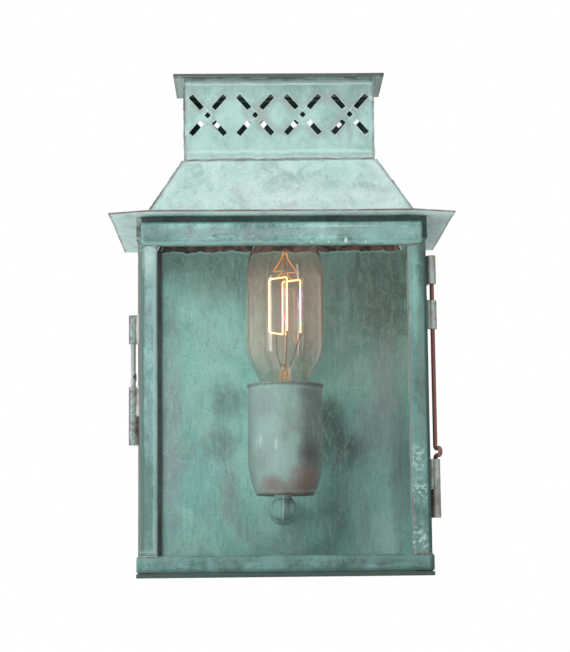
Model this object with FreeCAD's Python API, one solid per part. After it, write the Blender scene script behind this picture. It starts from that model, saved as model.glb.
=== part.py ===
import FreeCAD, Part
import math
import os

# Wall lantern soldered up from sheet brass: glazed body, front door, hood and pierced chimney.
# Millimetres. X runs to the right of a viewer who faces the lantern, Y runs into the wall,
# Z runs up. The wall is the plane Y = 0. Heights are taken from the underside of the base;
# save() then lowers the part so that the origin is where the arm meets the wall.

Vec = FreeCAD.Vector
UP = Vec(0, 0, 1)
DEPTH = Vec(0, 1, 0)
# Closer than this, two points or lines count as the same
TINY = 0.001

# Sheet, glass and clearances
SHEET = 1.0
GLASS = 3.0
FIT = 0.1
PLAY = 0.3

# Body
BODY_WIDTH = 209.0
BODY_FRONT = 145.0
BRIM_HEIGHT = 260.6
BACK_SHEET = 1.2
POST_FACE = 12.0
POST_SIDE = 12.0
REAR_FLANGE = 9.5
SIDE_RAIL_LOW = 12.0
SIDE_RAIL_TOP = 17.0
SIDE_RAIL_FLANGE = 3.0
PANE_LAP = 6.0
PANE_CLEAR = 0.2

# Base pan
PAN_MARGIN = 1.0
PAN_SETBACK = 0.5
PAN_LIP = 3.0
PAN_ROUND = 1.6

# Collar under the brim
COLLAR_DROP = 17.0
COLLAR_SHEET = 1.2

# Roof
BRIM_SIDE_OVERHANG = 20.5
BRIM_FRONT_OVERHANG = 20.0
BRIM_FACE = 25.0
HOOD_RISE = 60.4
HOOD_LEDGE = 1.6
SEAT_FLANGE = 5.0

# Chimney
CHIMNEY_WIDTH = 148.8
CHIMNEY_DEPTH = 59.6
CHIMNEY_HEIGHT = 66.8
CAP_OVERHANG = 8.2
CAP_SHEET = 1.2
CAP_ROUND = 1.0

# Crossed vent slots of the chimney
VENT_PITCH = 37.1
VENT_DROP = 29.8
VENT_INNER = 7.0
VENT_OUTER = 20.5
VENT_SLOT = 4.3
VENT_ANGLE = 49.0
VENT_DIAMOND = 3.8

# Keyholes in the back plate
KEYHOLE_SPACING = 100.0
KEYHOLE_ABOVE_BRIM = 21.4
KEYHOLE_ENTRY = 5.0
KEYHOLE_SLOT = 2.6
KEYHOLE_RISE = 9.0

# Door
DOOR_INSET = 1.0
DOOR_DROP = 5.3
DOOR_BACKSET = 0.9
TOP_RAIL_INSET = 1.5
TOP_RAIL_FACE = 18.0
BOTTOM_RAIL_LAP = 1.8
BOTTOM_RAIL_FACE = 12.2
STILE_FACE = 13.4
DOOR_BEND = 1.0
GLAZING_LIP = 2.5
DOOR_PANE_LAP = 6.0

# Tabs that hold the panes
TAB_SHEET = 0.6
TAB_HEIGHT = 9.0
TAB_LAP = 3.5
TAB_ROOT = 3.5
TAB_MARGIN = 30.0

# Hinge and latch, made from rolled tube and bent wire
TUBE_OUTER = 6.4
TUBE_LENGTH = 20.6
LEAF = 1.4
LEAF_BODY = 8.0
LEAF_DOOR = 5.0
PIN_WIRE = 3.2
BOLT_WIRE = 3.6
WIRE_INSET = 1.5
HINGE_BODY_DROP = 25.3
HINGE_DOOR_DROP = 58.3
HINGE_LOW_RISE = 37.4
PIN_GRIP_BEND = 2.4
PIN_GRIP_TURN = 2.5
PIN_GRIP_REACH = 8.0
PIN_GRIP_ANGLE = 20.0
KEEPER_RISE = 91.1
GUIDE_GAP = 31.4
BOLT_LIFT = 3.5
BOLT_GRIP_BEND = 2.0
BOLT_GRIP_TURN = 2.0
BOLT_GRIP_REACH = 9.0

# Arm and lampholder
ARM_HEIGHT = 50.5
ARM_OUTER = 10.0
ARM_BORE = 7.0
ARM_STOP = 2.0
ROSE_OUTER = 20.5
ROSE_THICK = 3.0
ROSE_ROUND = 1.5
NUT_FLATS = 17.0
NUT_THICK = 5.0
BALL_OUTER = 20.0
BOSS_OUTER = 13.0
BOSS_HEIGHT = 10.0
LAMP_AXIS = 75.0
NIPPLE_GRIP = 5.5
NIPPLE_RISE = 14.0
CUP_OUTER = 56.6
CUP_FOOT = 43.4
CUP_TAPER = 29.0
CUP_HEIGHT = 83.4
CUP_BEAD = 0.7
CUP_BEAD_HEIGHT = 1.6
HOLDER_OUTER = 39.0
HOLDER_DROP = 23.4
SOCKET_BORE = 29.0
SOCKET_DEPTH = 31.0
SHELL_WALL = 0.5
SHELL_DROP = 2.0
CONTACT_WIDTH = 6.0
CONTACT_THICK = 0.6
CONTACT_INSET = 2.0
CONTACT_STANDOFF = 2.0

# Lamp
LAMP_CAP_OUTER = 26.4
LAMP_CAP_LENGTH = 27.0
LAMP_CAP_WALL = 0.8
LAMP_CAP_FLOOR = 3.0
LAMP_CAP_ROUND = 2.5
STUD_OUTER = 9.0
STUD_HEIGHT = 2.0
BULB_OUTER = 59.0
BULB_NECK = 34.0
BULB_WALL = 0.9
BULB_SHOULDER = 24.0
BULB_STRAIGHT = 54.0
BULB_DOME = 38.0
SHOULDER_FULLNESS = 0.45
DOME_FULLNESS = 0.62
STEM_FLARE = 24.0
STEM_TAPER = 16.0
STEM_TUBE = 8.0
STEM_PRESS = 37.0
STEM_ROD = 2.6
STEM_RISE = 125.0
STEM_BUTTON = 5.0
CAGE_RADIUS = 12.0
CAGE_LEGS = 4
CAGE_TURN = 7.0
CAGE_LOW = 63.0
CAGE_HEIGHT = 41.0
FILAMENT = 0.7
SUPPORT_WIRE = 0.6

# Worked out from the sizes above
HALF_BODY = BODY_WIDTH / 2
HALF_ROOF = HALF_BODY + BRIM_SIDE_OVERHANG
PROJECTION = BODY_FRONT + BRIM_FRONT_OVERHANG
BRIM_TOP = BRIM_HEIGHT + SHEET
SEAT_HEIGHT = BRIM_TOP + HOOD_RISE
CHIMNEY_TOP = SEAT_HEIGHT + CHIMNEY_HEIGHT
HALF_CHIMNEY = CHIMNEY_WIDTH / 2

# Foot and head of the hood, and the level thickness of its sloping sheets
HOOD_FOOT_X = HALF_ROOF - BRIM_FACE
HOOD_FOOT_Y = PROJECTION - BRIM_FACE
HOOD_HEAD_X = HALF_CHIMNEY + HOOD_LEDGE
HOOD_HEAD_Y = CHIMNEY_DEPTH + HOOD_LEDGE
HOOD_SIDE_WALL = SHEET * math.hypot(HOOD_FOOT_X - HOOD_HEAD_X, HOOD_RISE) / HOOD_RISE
HOOD_FRONT_WALL = SHEET * math.hypot(HOOD_FOOT_Y - HOOD_HEAD_Y, HOOD_RISE) / HOOD_RISE
SEAT_X = HOOD_HEAD_X - SEAT_FLANGE
SEAT_Y = HOOD_HEAD_Y - SEAT_FLANGE

# Side panes
PANE_OUT = HALF_BODY - SHEET - PANE_CLEAR
PANE_IN = PANE_OUT - GLASS
PANE_FRONT = BODY_FRONT - POST_SIDE + PANE_LAP
PANE_REAR = BACK_SHEET + POST_SIDE - PANE_LAP
PANE_LOW = PAN_LIP + SIDE_RAIL_LOW - PANE_LAP
PANE_TOP = BRIM_HEIGHT - SIDE_RAIL_TOP + PANE_LAP

# Door
DOOR_BACK = BODY_FRONT + COLLAR_SHEET + PLAY
DOOR_FRONT = DOOR_BACK + DOOR_BACKSET + TAB_SHEET + GLASS + GLAZING_LIP
DOOR_FOOT = PAN_LIP + PLAY
DOOR_TOP = BRIM_HEIGHT - DOOR_DROP
HALF_DOOR = HALF_BODY - DOOR_INSET
STILE_LOW = DOOR_FOOT + BOTTOM_RAIL_FACE
STILE_TOP = DOOR_TOP - TOP_RAIL_FACE
DOOR_PANE_HALF = HALF_DOOR - STILE_FACE + DOOR_PANE_LAP
DOOR_PANE_LOW = STILE_LOW - DOOR_PANE_LAP
DOOR_PANE_TOP = STILE_TOP + DOOR_PANE_LAP
DOOR_PANE_FRONT = DOOR_FRONT - GLAZING_LIP
DOOR_PANE_BACK = DOOR_PANE_FRONT - GLASS
HALF_PAN = HALF_BODY + PAN_MARGIN
PAN_FRONT = DOOR_FRONT - PAN_SETBACK

# Hinge and latch: each low end of a tube, and the bores for the two wires
HINGE_X = HALF_BODY + PLAY + FIT + TUBE_OUTER / 2
HINGE_Y = BODY_FRONT + COLLAR_SHEET
HINGE_TOP_BODY = DOOR_TOP - HINGE_BODY_DROP - TUBE_LENGTH
HINGE_TOP_DOOR = DOOR_TOP - HINGE_DOOR_DROP - TUBE_LENGTH
HINGE_LOW_BODY = DOOR_FOOT + HINGE_LOW_RISE
HINGE_LOW_DOOR = HINGE_LOW_BODY + TUBE_LENGTH + PLAY
LATCH_KEEPER = DOOR_FOOT + KEEPER_RISE
LATCH_LOW = LATCH_KEEPER + TUBE_LENGTH + PLAY
LATCH_TOP = LATCH_LOW + TUBE_LENGTH + GUIDE_GAP
PIN_BORE = PIN_WIRE / 2 + FIT
BOLT_BORE = BOLT_WIRE / 2 + FIT

# Arm, lampholder and lamp
CENTRE = Vec(0, -LAMP_AXIS, 0)
ARM_END = LAMP_AXIS - ARM_BORE / 2 - ARM_STOP
ARM_HOLE = ARM_OUTER / 2 + FIT / 2
BALL_TOP = ARM_HEIGHT + BOSS_HEIGHT
CUP_TOP = BALL_TOP + CUP_HEIGHT
HOLDER_BASE = BALL_TOP + SHEET + NUT_THICK
HOLDER_TOP = CUP_TOP - HOLDER_DROP
SOCKET_FLOOR = HOLDER_TOP - SOCKET_DEPTH
LAMP_BASE = SOCKET_FLOOR + CONTACT_STANDOFF + CONTACT_THICK + FIT
BULB_BASE = LAMP_BASE + STUD_HEIGHT + LAMP_CAP_LENGTH
STEM_BASE = BULB_BASE + BULB_WALL
CAGE_FOOT = BULB_BASE + CAGE_LOW
CAGE_HEAD = CAGE_FOOT + CAGE_HEIGHT


def box(x0, x1, y0, y1, z0, z1):
    return Part.makeBox(x1 - x0, y1 - y0, z1 - z0, Vec(x0, y0, z0))


def plan_prism(points, z0, z1):
    # A plan outline of (x, y) points raised from z0 to z1.
    corners = [Vec(x, y, z0) for x, y in points]
    outline = Part.makePolygon(corners + corners[:1])
    return Part.Face(outline).extrude(Vec(0, 0, z1 - z0))


def front_prism(points, y0, y1):
    # A front outline of (x, z) points carried from y0 to y1.
    corners = [Vec(x, y0, z) for x, z in points]
    outline = Part.makePolygon(corners + corners[:1])
    return Part.Face(outline).extrude(Vec(0, y1 - y0, 0))


def mirrored(shape):
    return shape.mirror(Vec(0, 0, 0), Vec(1, 0, 0))


def upright(radius, z0, z1, centre=CENTRE):
    return Part.makeCylinder(radius, z1 - z0, Vec(centre.x, centre.y, z0))


def along_y(radius, y0, y1, x=0, z=ARM_HEIGHT):
    return Part.makeCylinder(radius, y1 - y0, Vec(x, y0, z), Vec(0, 1, 0))


def rod(start, end, radius):
    line = end - start
    return Part.makeCylinder(radius, line.Length, start, line)


def line(r0, z0, r1, z1):
    return Part.LineSegment(Vec(r0, 0, z0), Vec(r1, 0, z1)).toShape()


def turned(edges):
    # A closed half-section in (radius, z), turned about the lamp's axis.
    face = Part.Face(Part.Wire(edges))
    face.translate(CENTRE)
    return face.revolve(CENTRE, Vec(0, 0, 1), 360)


def bent_rod(points, bends, radius):
    # A round wire along straight runs, with a bend radius at each inner corner.
    edges = []
    start = points[0]
    for index, bend in enumerate(bends):
        corner = points[index + 1]
        arriving = (corner - points[index]).normalize()
        leaving = (points[index + 2] - corner).normalize()
        half_turn = arriving.getAngle(leaving) / 2
        setback = bend * math.tan(half_turn)
        first = corner - arriving * setback
        last = corner + leaving * setback
        inward = (leaving - arriving).normalize()
        middle = corner + inward * (bend / math.cos(half_turn) - bend)
        if not start.isEqual(first, TINY):
            edges.append(Part.LineSegment(start, first).toShape())
        edges.append(Part.Arc(first, middle, last).toShape())
        start = last
    edges.append(Part.LineSegment(start, points[-1]).toShape())
    section = Part.Wire(Part.Circle(points[0], points[1] - points[0], radius).toShape())
    return Part.Wire(edges).makePipeShell([section], True, True)


def rounded(shape, radius, wanted):
    edges = [edge for edge in shape.Edges if wanted(edge)]
    return shape.makeFillet(radius, edges)


def runs_along(edge, axis):
    first, last = edge.Vertexes[0].Point, edge.Vertexes[-1].Point
    return (last - first).cross(axis).Length < TINY


def at_front(edge, front):
    return all(abs(vertex.Y + front) < TINY for vertex in edge.Vertexes)


def back_plate():
    # Flat to the brim, then inside the hood up to the foot of the chimney.
    foot = HOOD_FOOT_X - HOOD_SIDE_WALL - FIT
    head = HOOD_HEAD_X - HOOD_SIDE_WALL - FIT
    tongue = SEAT_X - FIT
    right_half = [
        (HALF_BODY, PAN_LIP),
        (HALF_BODY, BRIM_HEIGHT),
        (foot, BRIM_HEIGHT),
        (head, SEAT_HEIGHT - SHEET),
        (tongue, SEAT_HEIGHT - SHEET),
        (tongue, SEAT_HEIGHT),
    ]
    outline = right_half + [(-x, z) for x, z in reversed(right_half)]
    plate = front_prism(outline, -BACK_SHEET, 0)
    entry_height = BRIM_HEIGHT + KEYHOLE_ABOVE_BRIM
    slot_height = entry_height + KEYHOLE_RISE
    cuts = [along_y(ARM_HOLE, -BACK_SHEET, 0)]
    for x in (-KEYHOLE_SPACING / 2, KEYHOLE_SPACING / 2):
        cuts.append(along_y(KEYHOLE_ENTRY, -BACK_SHEET, 0, x, entry_height))
        cuts.append(along_y(KEYHOLE_SLOT, -BACK_SHEET, 0, x, slot_height))
        left, right = x - KEYHOLE_SLOT, x + KEYHOLE_SLOT
        cuts.append(box(left, right, -BACK_SHEET, 0, entry_height, slot_height))
    return plate.cut(cuts).removeSplitter()


def base_pan():
    # A sheet with its edges folded down.
    pan = box(-HALF_PAN, HALF_PAN, -PAN_FRONT, 0, 0, PAN_LIP)
    pan = rounded(pan, PAN_ROUND, lambda edge: runs_along(edge, UP) and at_front(edge, PAN_FRONT))
    inner = HALF_PAN - SHEET
    return pan.cut(box(-inner, inner, -PAN_FRONT + SHEET, -SHEET, 0, PAN_LIP - SHEET))


def angle_post(y, inward, flange):
    # An angle section with its outer corner at the body's side; inward is the way its side leg runs.
    x = HALF_BODY
    outline = [
        (x, y),
        (x - flange, y),
        (x - flange, y + inward * SHEET),
        (x - SHEET, y + inward * SHEET),
        (x - SHEET, y + inward * POST_SIDE),
        (x, y + inward * POST_SIDE),
    ]
    return plan_prism(outline, PAN_LIP, BRIM_HEIGHT)


def side_rail(low, high, flange_low):
    # A strip between the posts, with a narrow flange turned in along one edge.
    front, rear = -BODY_FRONT + POST_SIDE, -BACK_SHEET - POST_SIDE
    web = box(HALF_BODY - SHEET, HALF_BODY, front, rear, low, high)
    flange = box(HALF_BODY - SIDE_RAIL_FLANGE, HALF_BODY, front, rear, flange_low, flange_low + SHEET)
    return web.fuse(flange).removeSplitter()


def side_pane():
    return box(PANE_IN, PANE_OUT, -PANE_FRONT, -PANE_REAR, PANE_LOW, PANE_TOP)


def tab_heights(low, top):
    return (low + TAB_MARGIN, (low + top - TAB_HEIGHT) / 2, top - TAB_MARGIN - TAB_HEIGHT)


def side_tabs():
    # Each tab is soldered to a post, passes the edge of the pane and is bent over its inner face.
    wall = HALF_BODY - SHEET
    tabs = []
    for edge, out in ((-PANE_FRONT, -1), (-PANE_REAR, 1)):
        near = edge + out * FIT
        far = near + out * TAB_SHEET
        outline = [
            (wall, near + out * TAB_ROOT),
            (wall - TAB_SHEET, near + out * TAB_ROOT),
            (wall - TAB_SHEET, far),
            (PANE_IN - TAB_SHEET, far),
            (PANE_IN - TAB_SHEET, edge - out * TAB_LAP),
            (PANE_IN, edge - out * TAB_LAP),
            (PANE_IN, near),
            (wall, near),
        ]
        for z in tab_heights(PANE_LOW, PANE_TOP):
            tabs.append(plan_prism(outline, z, z + TAB_HEIGHT))
    return Part.Compound(tabs)


def collar():
    half, low = HALF_BODY + COLLAR_SHEET, BRIM_HEIGHT - COLLAR_DROP
    outer = box(-half, half, -BODY_FRONT - COLLAR_SHEET, 0, low, BRIM_HEIGHT)
    return outer.cut(box(-HALF_BODY, HALF_BODY, -BODY_FRONT, 0, low, BRIM_HEIGHT))


def hood_solid(side_in, front_in):
    # The hood's outer form, or its hollow when the sheet is taken off sides and front.
    foot_x, foot_y = HOOD_FOOT_X - side_in, HOOD_FOOT_Y - front_in
    head_x, head_y = HOOD_HEAD_X - side_in, HOOD_HEAD_Y - front_in
    outlines = []
    for x, y, z in ((foot_x, foot_y, BRIM_TOP), (head_x, head_y, SEAT_HEIGHT)):
        corners = [Vec(-x, 0, z), Vec(-x, -y, z), Vec(x, -y, z), Vec(x, 0, z)]
        outlines.append(Part.makePolygon(corners + corners[:1]))
    return Part.makeLoft(outlines, True, True)


def roof_skin():
    # Brim, slopes and seat flange as one folded skin, open at the wall.
    foot_x, foot_y = HOOD_FOOT_X - HOOD_SIDE_WALL, HOOD_FOOT_Y - HOOD_FRONT_WALL
    brim = box(-HALF_ROOF, HALF_ROOF, -PROJECTION, 0, BRIM_HEIGHT, BRIM_TOP)
    brim = brim.cut(box(-foot_x, foot_x, -foot_y, 0, BRIM_HEIGHT, BRIM_TOP))
    hood = hood_solid(0, 0)
    slopes = hood.cut(hood_solid(HOOD_SIDE_WALL, HOOD_FRONT_WALL))
    seat_low = SEAT_HEIGHT - SHEET
    seat = hood.common(box(-HOOD_FOOT_X, HOOD_FOOT_X, -HOOD_FOOT_Y, 0, seat_low, SEAT_HEIGHT))
    seat = seat.cut(box(-SEAT_X, SEAT_X, -SEAT_Y, 0, seat_low, SEAT_HEIGHT))
    return brim.fuse([slopes, seat]).removeSplitter()


def roof_sheets():
    # The skin is parted along the brim's mitres, the hips and the mitres of the seat flange.
    skin = roof_skin()
    hip = [
        (HALF_ROOF, -PROJECTION),
        (HOOD_FOOT_X, -HOOD_FOOT_Y),
        (HOOD_HEAD_X, -HOOD_HEAD_Y),
        (SEAT_X, -SEAT_Y),
    ]
    front_outline = hip + [(-x, y) for x, y in reversed(hip)]
    side_outline = hip + [(SEAT_X, 0), (HALF_ROOF, 0)]
    front = skin.common(plan_prism(front_outline, BRIM_HEIGHT, SEAT_HEIGHT))
    right = skin.common(plan_prism(side_outline, BRIM_HEIGHT, SEAT_HEIGHT))
    return front, right


def vent(x):
    # Four crossed slots and a small diamond at their middle, cut along Y.
    depth = 4 * SHEET
    half_slot, half_diamond = VENT_SLOT / 2, VENT_DIAMOND / 2
    cuts = []
    for angle in (VENT_ANGLE, 180 - VENT_ANGLE, 180 + VENT_ANGLE, -VENT_ANGLE):
        slot = box(VENT_INNER, VENT_OUTER, -depth / 2, depth / 2, -half_slot, half_slot)
        slot.rotate(Vec(0, 0, 0), Vec(0, -1, 0), angle)
        cuts.append(slot)
    diamond = box(-half_diamond, half_diamond, -depth / 2, depth / 2, -half_diamond, half_diamond)
    diamond.rotate(Vec(0, 0, 0), Vec(0, -1, 0), 45)
    cuts.append(diamond)
    for cut in cuts:
        cut.translate(Vec(x, 0, CHIMNEY_TOP - VENT_DROP))
    return cuts


def pierced_panel(span):
    # An upright panel of this width, centred on the wall line, with as many vents as fit.
    count = int(span // VENT_PITCH)
    panel = box(-span / 2, span / 2, -SHEET, 0, SEAT_HEIGHT, CHIMNEY_TOP)
    cuts = []
    for index in range(count):
        cuts += vent((index - (count - 1) / 2) * VENT_PITCH)
    return panel.cut(cuts)


def chimney_front():
    panel = pierced_panel(CHIMNEY_WIDTH)
    panel.translate(Vec(0, SHEET - CHIMNEY_DEPTH, 0))
    return panel


def chimney_side():
    panel = pierced_panel(CHIMNEY_DEPTH - 2 * SHEET)
    panel.rotate(Vec(0, 0, 0), UP, 90)
    panel.translate(Vec(HALF_CHIMNEY - SHEET, -CHIMNEY_DEPTH / 2, 0))
    return panel


def chimney_cap():
    half, front = HALF_CHIMNEY + CAP_OVERHANG, CHIMNEY_DEPTH + CAP_OVERHANG
    lid = box(-half, half, -front, 0, CHIMNEY_TOP, CHIMNEY_TOP + CAP_SHEET)
    return rounded(lid, CAP_ROUND, lambda edge: runs_along(edge, UP) and at_front(edge, front))


def knuckle(low, bore, leaf_in, leaf_front, leaf_rear):
    # A rolled tube on the hinge line with a flat leaf, in plan from leaf_in to the body's side.
    axis = Vec(HINGE_X, -HINGE_Y, 0)
    high = low + TUBE_LENGTH
    tube = upright(TUBE_OUTER / 2, low, high, axis)
    leaf = box(leaf_in, HALF_BODY + LEAF, -leaf_front, -leaf_rear, low, high)
    return tube.fuse(leaf).removeSplitter().cut(upright(bore, low, high, axis))


def body_knuckle(low, bore):
    return knuckle(low, bore, HALF_BODY, HINGE_Y, HINGE_Y - LEAF_BODY)


def door_knuckle(low, bore):
    return knuckle(low, bore, HALF_DOOR, HINGE_Y + LEAF_DOOR, HINGE_Y)


def gripped_wire(axis, ends, grip_low, turn, bend, reach, radius):
    # A straight wire with a hairpin finger grip bent out of its length.
    head, foot = ends
    grip_high = grip_low + 2 * turn
    points = [
        axis + UP * head,
        axis + UP * grip_high,
        axis + reach + UP * grip_high,
        axis + reach + UP * grip_low,
        axis + UP * grip_low,
        axis + UP * foot,
    ]
    return bent_rod(points, [bend, turn, turn, bend], radius)


def hinge_pin():
    # The grip stands just above the lower door tube and points out to the front.
    angle = math.radians(PIN_GRIP_ANGLE)
    reach = Vec(math.sin(angle), -math.cos(angle), 0) * PIN_GRIP_REACH
    grip_low = HINGE_LOW_DOOR + TUBE_LENGTH + PLAY + PIN_GRIP_BEND
    ends = (HINGE_TOP_BODY + TUBE_LENGTH - WIRE_INSET, HINGE_LOW_BODY + WIRE_INSET)
    axis = Vec(HINGE_X, -HINGE_Y, 0)
    return gripped_wire(axis, ends, grip_low, PIN_GRIP_TURN, PIN_GRIP_BEND, reach, PIN_WIRE / 2)


def latch_bolt():
    # Drawn: its foot stands just above the keeper, and its grip points back along the body.
    reach = Vec(0, BOLT_GRIP_REACH, 0)
    grip_low = LATCH_LOW + TUBE_LENGTH + BOLT_LIFT + PLAY + BOLT_GRIP_BEND
    ends = (LATCH_TOP + TUBE_LENGTH - WIRE_INSET, LATCH_LOW)
    axis = Vec(-HINGE_X, -HINGE_Y, 0)
    return gripped_wire(axis, ends, grip_low, BOLT_GRIP_TURN, BOLT_GRIP_BEND, reach, BOLT_WIRE / 2)


def door_rail(half, low, high, lip):
    # A folded channel with closed ends; lip is the height of the edge that the glass passes.
    def folded(edge, front):
        return at_front(edge, front) or runs_along(edge, DEPTH)

    front_in = DOOR_FRONT - SHEET
    outer = box(-half, half, -DOOR_FRONT, -DOOR_BACK, low, high)
    outer = rounded(outer, DOOR_BEND + SHEET, lambda edge: folded(edge, DOOR_FRONT))
    hollow = box(-half + SHEET, half - SHEET, -front_in, -DOOR_BACK, low + SHEET, high - SHEET)
    hollow = rounded(hollow, DOOR_BEND, lambda edge: folded(edge, front_in))
    # The lip is cut back for the glass, past the round corners of the hollow.
    notch, depth = HALF_DOOR - SHEET, SHEET + DOOR_BEND
    relief = box(-notch, notch, -DOOR_PANE_FRONT, -DOOR_BACK, lip - depth, lip + depth)
    return outer.cut([hollow, relief])


def door_stile():
    # A folded strip: full return outside, short glazing lip inside, open at the back.
    def folded(edge, front):
        return runs_along(edge, UP) and at_front(edge, front)

    inner, front_in = HALF_DOOR - STILE_FACE, DOOR_FRONT - SHEET
    strip = box(inner, HALF_DOOR, -DOOR_FRONT, -DOOR_BACK, STILE_LOW, STILE_TOP)
    strip = rounded(strip, DOOR_BEND + SHEET, lambda edge: folded(edge, DOOR_FRONT))
    hollow = box(inner + SHEET, HALF_DOOR - SHEET, -front_in, -DOOR_BACK, STILE_LOW, STILE_TOP)
    hollow = rounded(hollow, DOOR_BEND, lambda edge: folded(edge, front_in))
    relief = box(inner, inner + SHEET, -DOOR_PANE_FRONT, -DOOR_BACK, STILE_LOW, STILE_TOP)
    return strip.cut([hollow, relief])


def door_pane():
    half = DOOR_PANE_HALF
    return box(-half, half, -DOOR_PANE_FRONT, -DOOR_PANE_BACK, DOOR_PANE_LOW, DOOR_PANE_TOP)


def door_tabs():
    # Each tab is soldered inside a stile and bent over the back of the pane.
    wall, behind = HALF_DOOR - SHEET, -DOOR_PANE_BACK
    tip = DOOR_PANE_HALF - TAB_LAP
    outline = [
        (wall, behind - TAB_ROOT),
        (wall, behind + TAB_SHEET),
        (tip, behind + TAB_SHEET),
        (tip, behind),
        (wall - TAB_SHEET, behind),
        (wall - TAB_SHEET, behind - TAB_ROOT),
    ]
    tabs = []
    for z in tab_heights(DOOR_PANE_LOW, DOOR_PANE_TOP):
        tab = plan_prism(outline, z, z + TAB_HEIGHT)
        tabs += [tab, mirrored(tab)]
    return Part.Compound(tabs)


def nut(start, axis):
    radius = NUT_FLATS / math.sqrt(3)
    corners = []
    for index in range(6):
        angle = math.radians(60 * index)
        corners.append(Vec(radius * math.cos(angle), radius * math.sin(angle), 0))
    blank = Part.Face(Part.makePolygon(corners + corners[:1])).extrude(UP * NUT_THICK)
    blank = blank.cut(Part.makeCylinder(ARM_HOLE, NUT_THICK))
    blank.Placement = FreeCAD.Placement(start, FreeCAD.Rotation(UP, axis))
    return blank


def arm_rose():
    rear, front = -BACK_SHEET, -BACK_SHEET - ROSE_THICK
    disc = along_y(ROSE_OUTER / 2, front, rear)
    disc = rounded(disc, ROSE_ROUND, lambda edge: at_front(edge, -front))
    return disc.cut(along_y(ARM_HOLE, front, rear))


def lamp_arm():
    return along_y(ARM_OUTER / 2, -ARM_END, 0).cut(along_y(ARM_BORE / 2, -ARM_END, 0))


def ball_elbow():
    # A turned ball with a boss for the arm and one for the nipple, joined by crossing ways.
    rear_end = -LAMP_AXIS + BOSS_HEIGHT
    ball = Part.makeSphere(BALL_OUTER / 2, Vec(0, -LAMP_AXIS, ARM_HEIGHT))
    bosses = [
        upright(BOSS_OUTER / 2, ARM_HEIGHT, BALL_TOP),
        along_y(BOSS_OUTER / 2, -LAMP_AXIS, rear_end),
    ]
    cuts = [
        along_y(ARM_BORE / 2, -LAMP_AXIS, rear_end),
        upright(ARM_BORE / 2, ARM_HEIGHT, BALL_TOP),
        along_y(ARM_HOLE, -ARM_END - FIT, rear_end),
        upright(ARM_HOLE, BALL_TOP - NIPPLE_GRIP, BALL_TOP),
    ]
    return ball.fuse(bosses).removeSplitter().cut(cuts)


def holder_nipple():
    low, high = BALL_TOP - NIPPLE_GRIP + FIT, BALL_TOP + NIPPLE_RISE
    return upright(ARM_OUTER / 2, low, high).cut(upright(ARM_BORE / 2, low, high))


def cup_solid(inset):
    # Foot, belly and straight wall; the belly is one arc that runs into the wall.
    foot, wall = CUP_FOOT / 2 - inset, CUP_OUTER / 2 - inset
    low, shoulder = BALL_TOP + inset, BALL_TOP + CUP_TAPER
    rise, swell = shoulder - low, wall - foot
    radius = (rise * rise + swell * swell) / (2 * swell)
    half_rise = rise / 2
    belly = wall - radius + math.sqrt(radius * radius - half_rise * half_rise)
    arc = Part.Arc(Vec(foot, 0, low), Vec(belly, 0, low + half_rise), Vec(wall, 0, shoulder))
    return turned([
        line(0, low, foot, low),
        arc.toShape(),
        line(wall, shoulder, wall, CUP_TOP),
        line(wall, CUP_TOP, 0, CUP_TOP),
        line(0, CUP_TOP, 0, low),
    ])


def holder_cup():
    bead = upright(CUP_OUTER / 2 + CUP_BEAD, CUP_TOP - CUP_BEAD_HEIGHT, CUP_TOP)
    hole = upright(ARM_HOLE, BALL_TOP, BALL_TOP + SHEET)
    return cup_solid(0).fuse(bead).removeSplitter().cut([cup_solid(SHEET), hole])


def holder_insulator():
    body = upright(HOLDER_OUTER / 2, HOLDER_BASE, HOLDER_TOP)
    socket = upright(SOCKET_BORE / 2, SOCKET_FLOOR, HOLDER_TOP)
    entry = upright(ARM_HOLE, HOLDER_BASE, BALL_TOP + NIPPLE_RISE + FIT)
    way = upright(ARM_BORE / 2, HOLDER_BASE, SOCKET_FLOOR)
    return body.cut([socket, entry, way])


def holder_shell():
    outer = SOCKET_BORE / 2 - FIT / 2
    low, top = SOCKET_FLOOR, HOLDER_TOP - SHELL_DROP
    return upright(outer, low, top).cut(upright(outer - SHELL_WALL, low, top))


def holder_contact():
    # A spring strip bent back over itself, under the stud of the lamp.
    half = CONTACT_WIDTH / 2
    end = -LAMP_AXIS - SOCKET_BORE / 2 + CONTACT_INSET
    low, high = SOCKET_FLOOR, SOCKET_FLOOR + CONTACT_STANDOFF
    foot = box(-half, half, end, -LAMP_AXIS, low, low + CONTACT_THICK)
    riser = box(-half, half, end, end + CONTACT_THICK, low, high + CONTACT_THICK)
    tongue = box(-half, half, end, -LAMP_AXIS + half, high, high + CONTACT_THICK)
    return foot.fuse([riser, tongue]).removeSplitter()


def bulb_cap():
    # A metal cup under the neck, thread left plain, with the contact stud below.
    low = LAMP_BASE + STUD_HEIGHT
    cup = upright(LAMP_CAP_OUTER / 2, low, BULB_BASE)
    cup = rounded(cup, LAMP_CAP_ROUND, lambda edge: abs(edge.BoundBox.ZMax - low) < TINY)
    hollow = upright(LAMP_CAP_OUTER / 2 - LAMP_CAP_WALL, low + LAMP_CAP_FLOOR, BULB_BASE)
    stud = upright(STUD_OUTER / 2, LAMP_BASE, low)
    return cup.fuse(stud).removeSplitter().cut(hollow)


def quarter(start, end, fullness, leaves_level):
    # A smooth quarter curve in (radius, z); a higher fullness makes it squarer.
    (r0, z0), (r1, z1) = start, end
    corner = (r1, z0) if leaves_level else (r0, z1)
    poles = [
        Vec(r0, 0, z0),
        Vec(r0 + fullness * (corner[0] - r0), 0, z0 + fullness * (corner[1] - z0)),
        Vec(r1 + fullness * (corner[0] - r1), 0, z1 + fullness * (corner[1] - z1)),
        Vec(r1, 0, z1),
    ]
    curve = Part.BezierCurve()
    curve.setPoles(poles)
    return curve.toShape()


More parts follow.
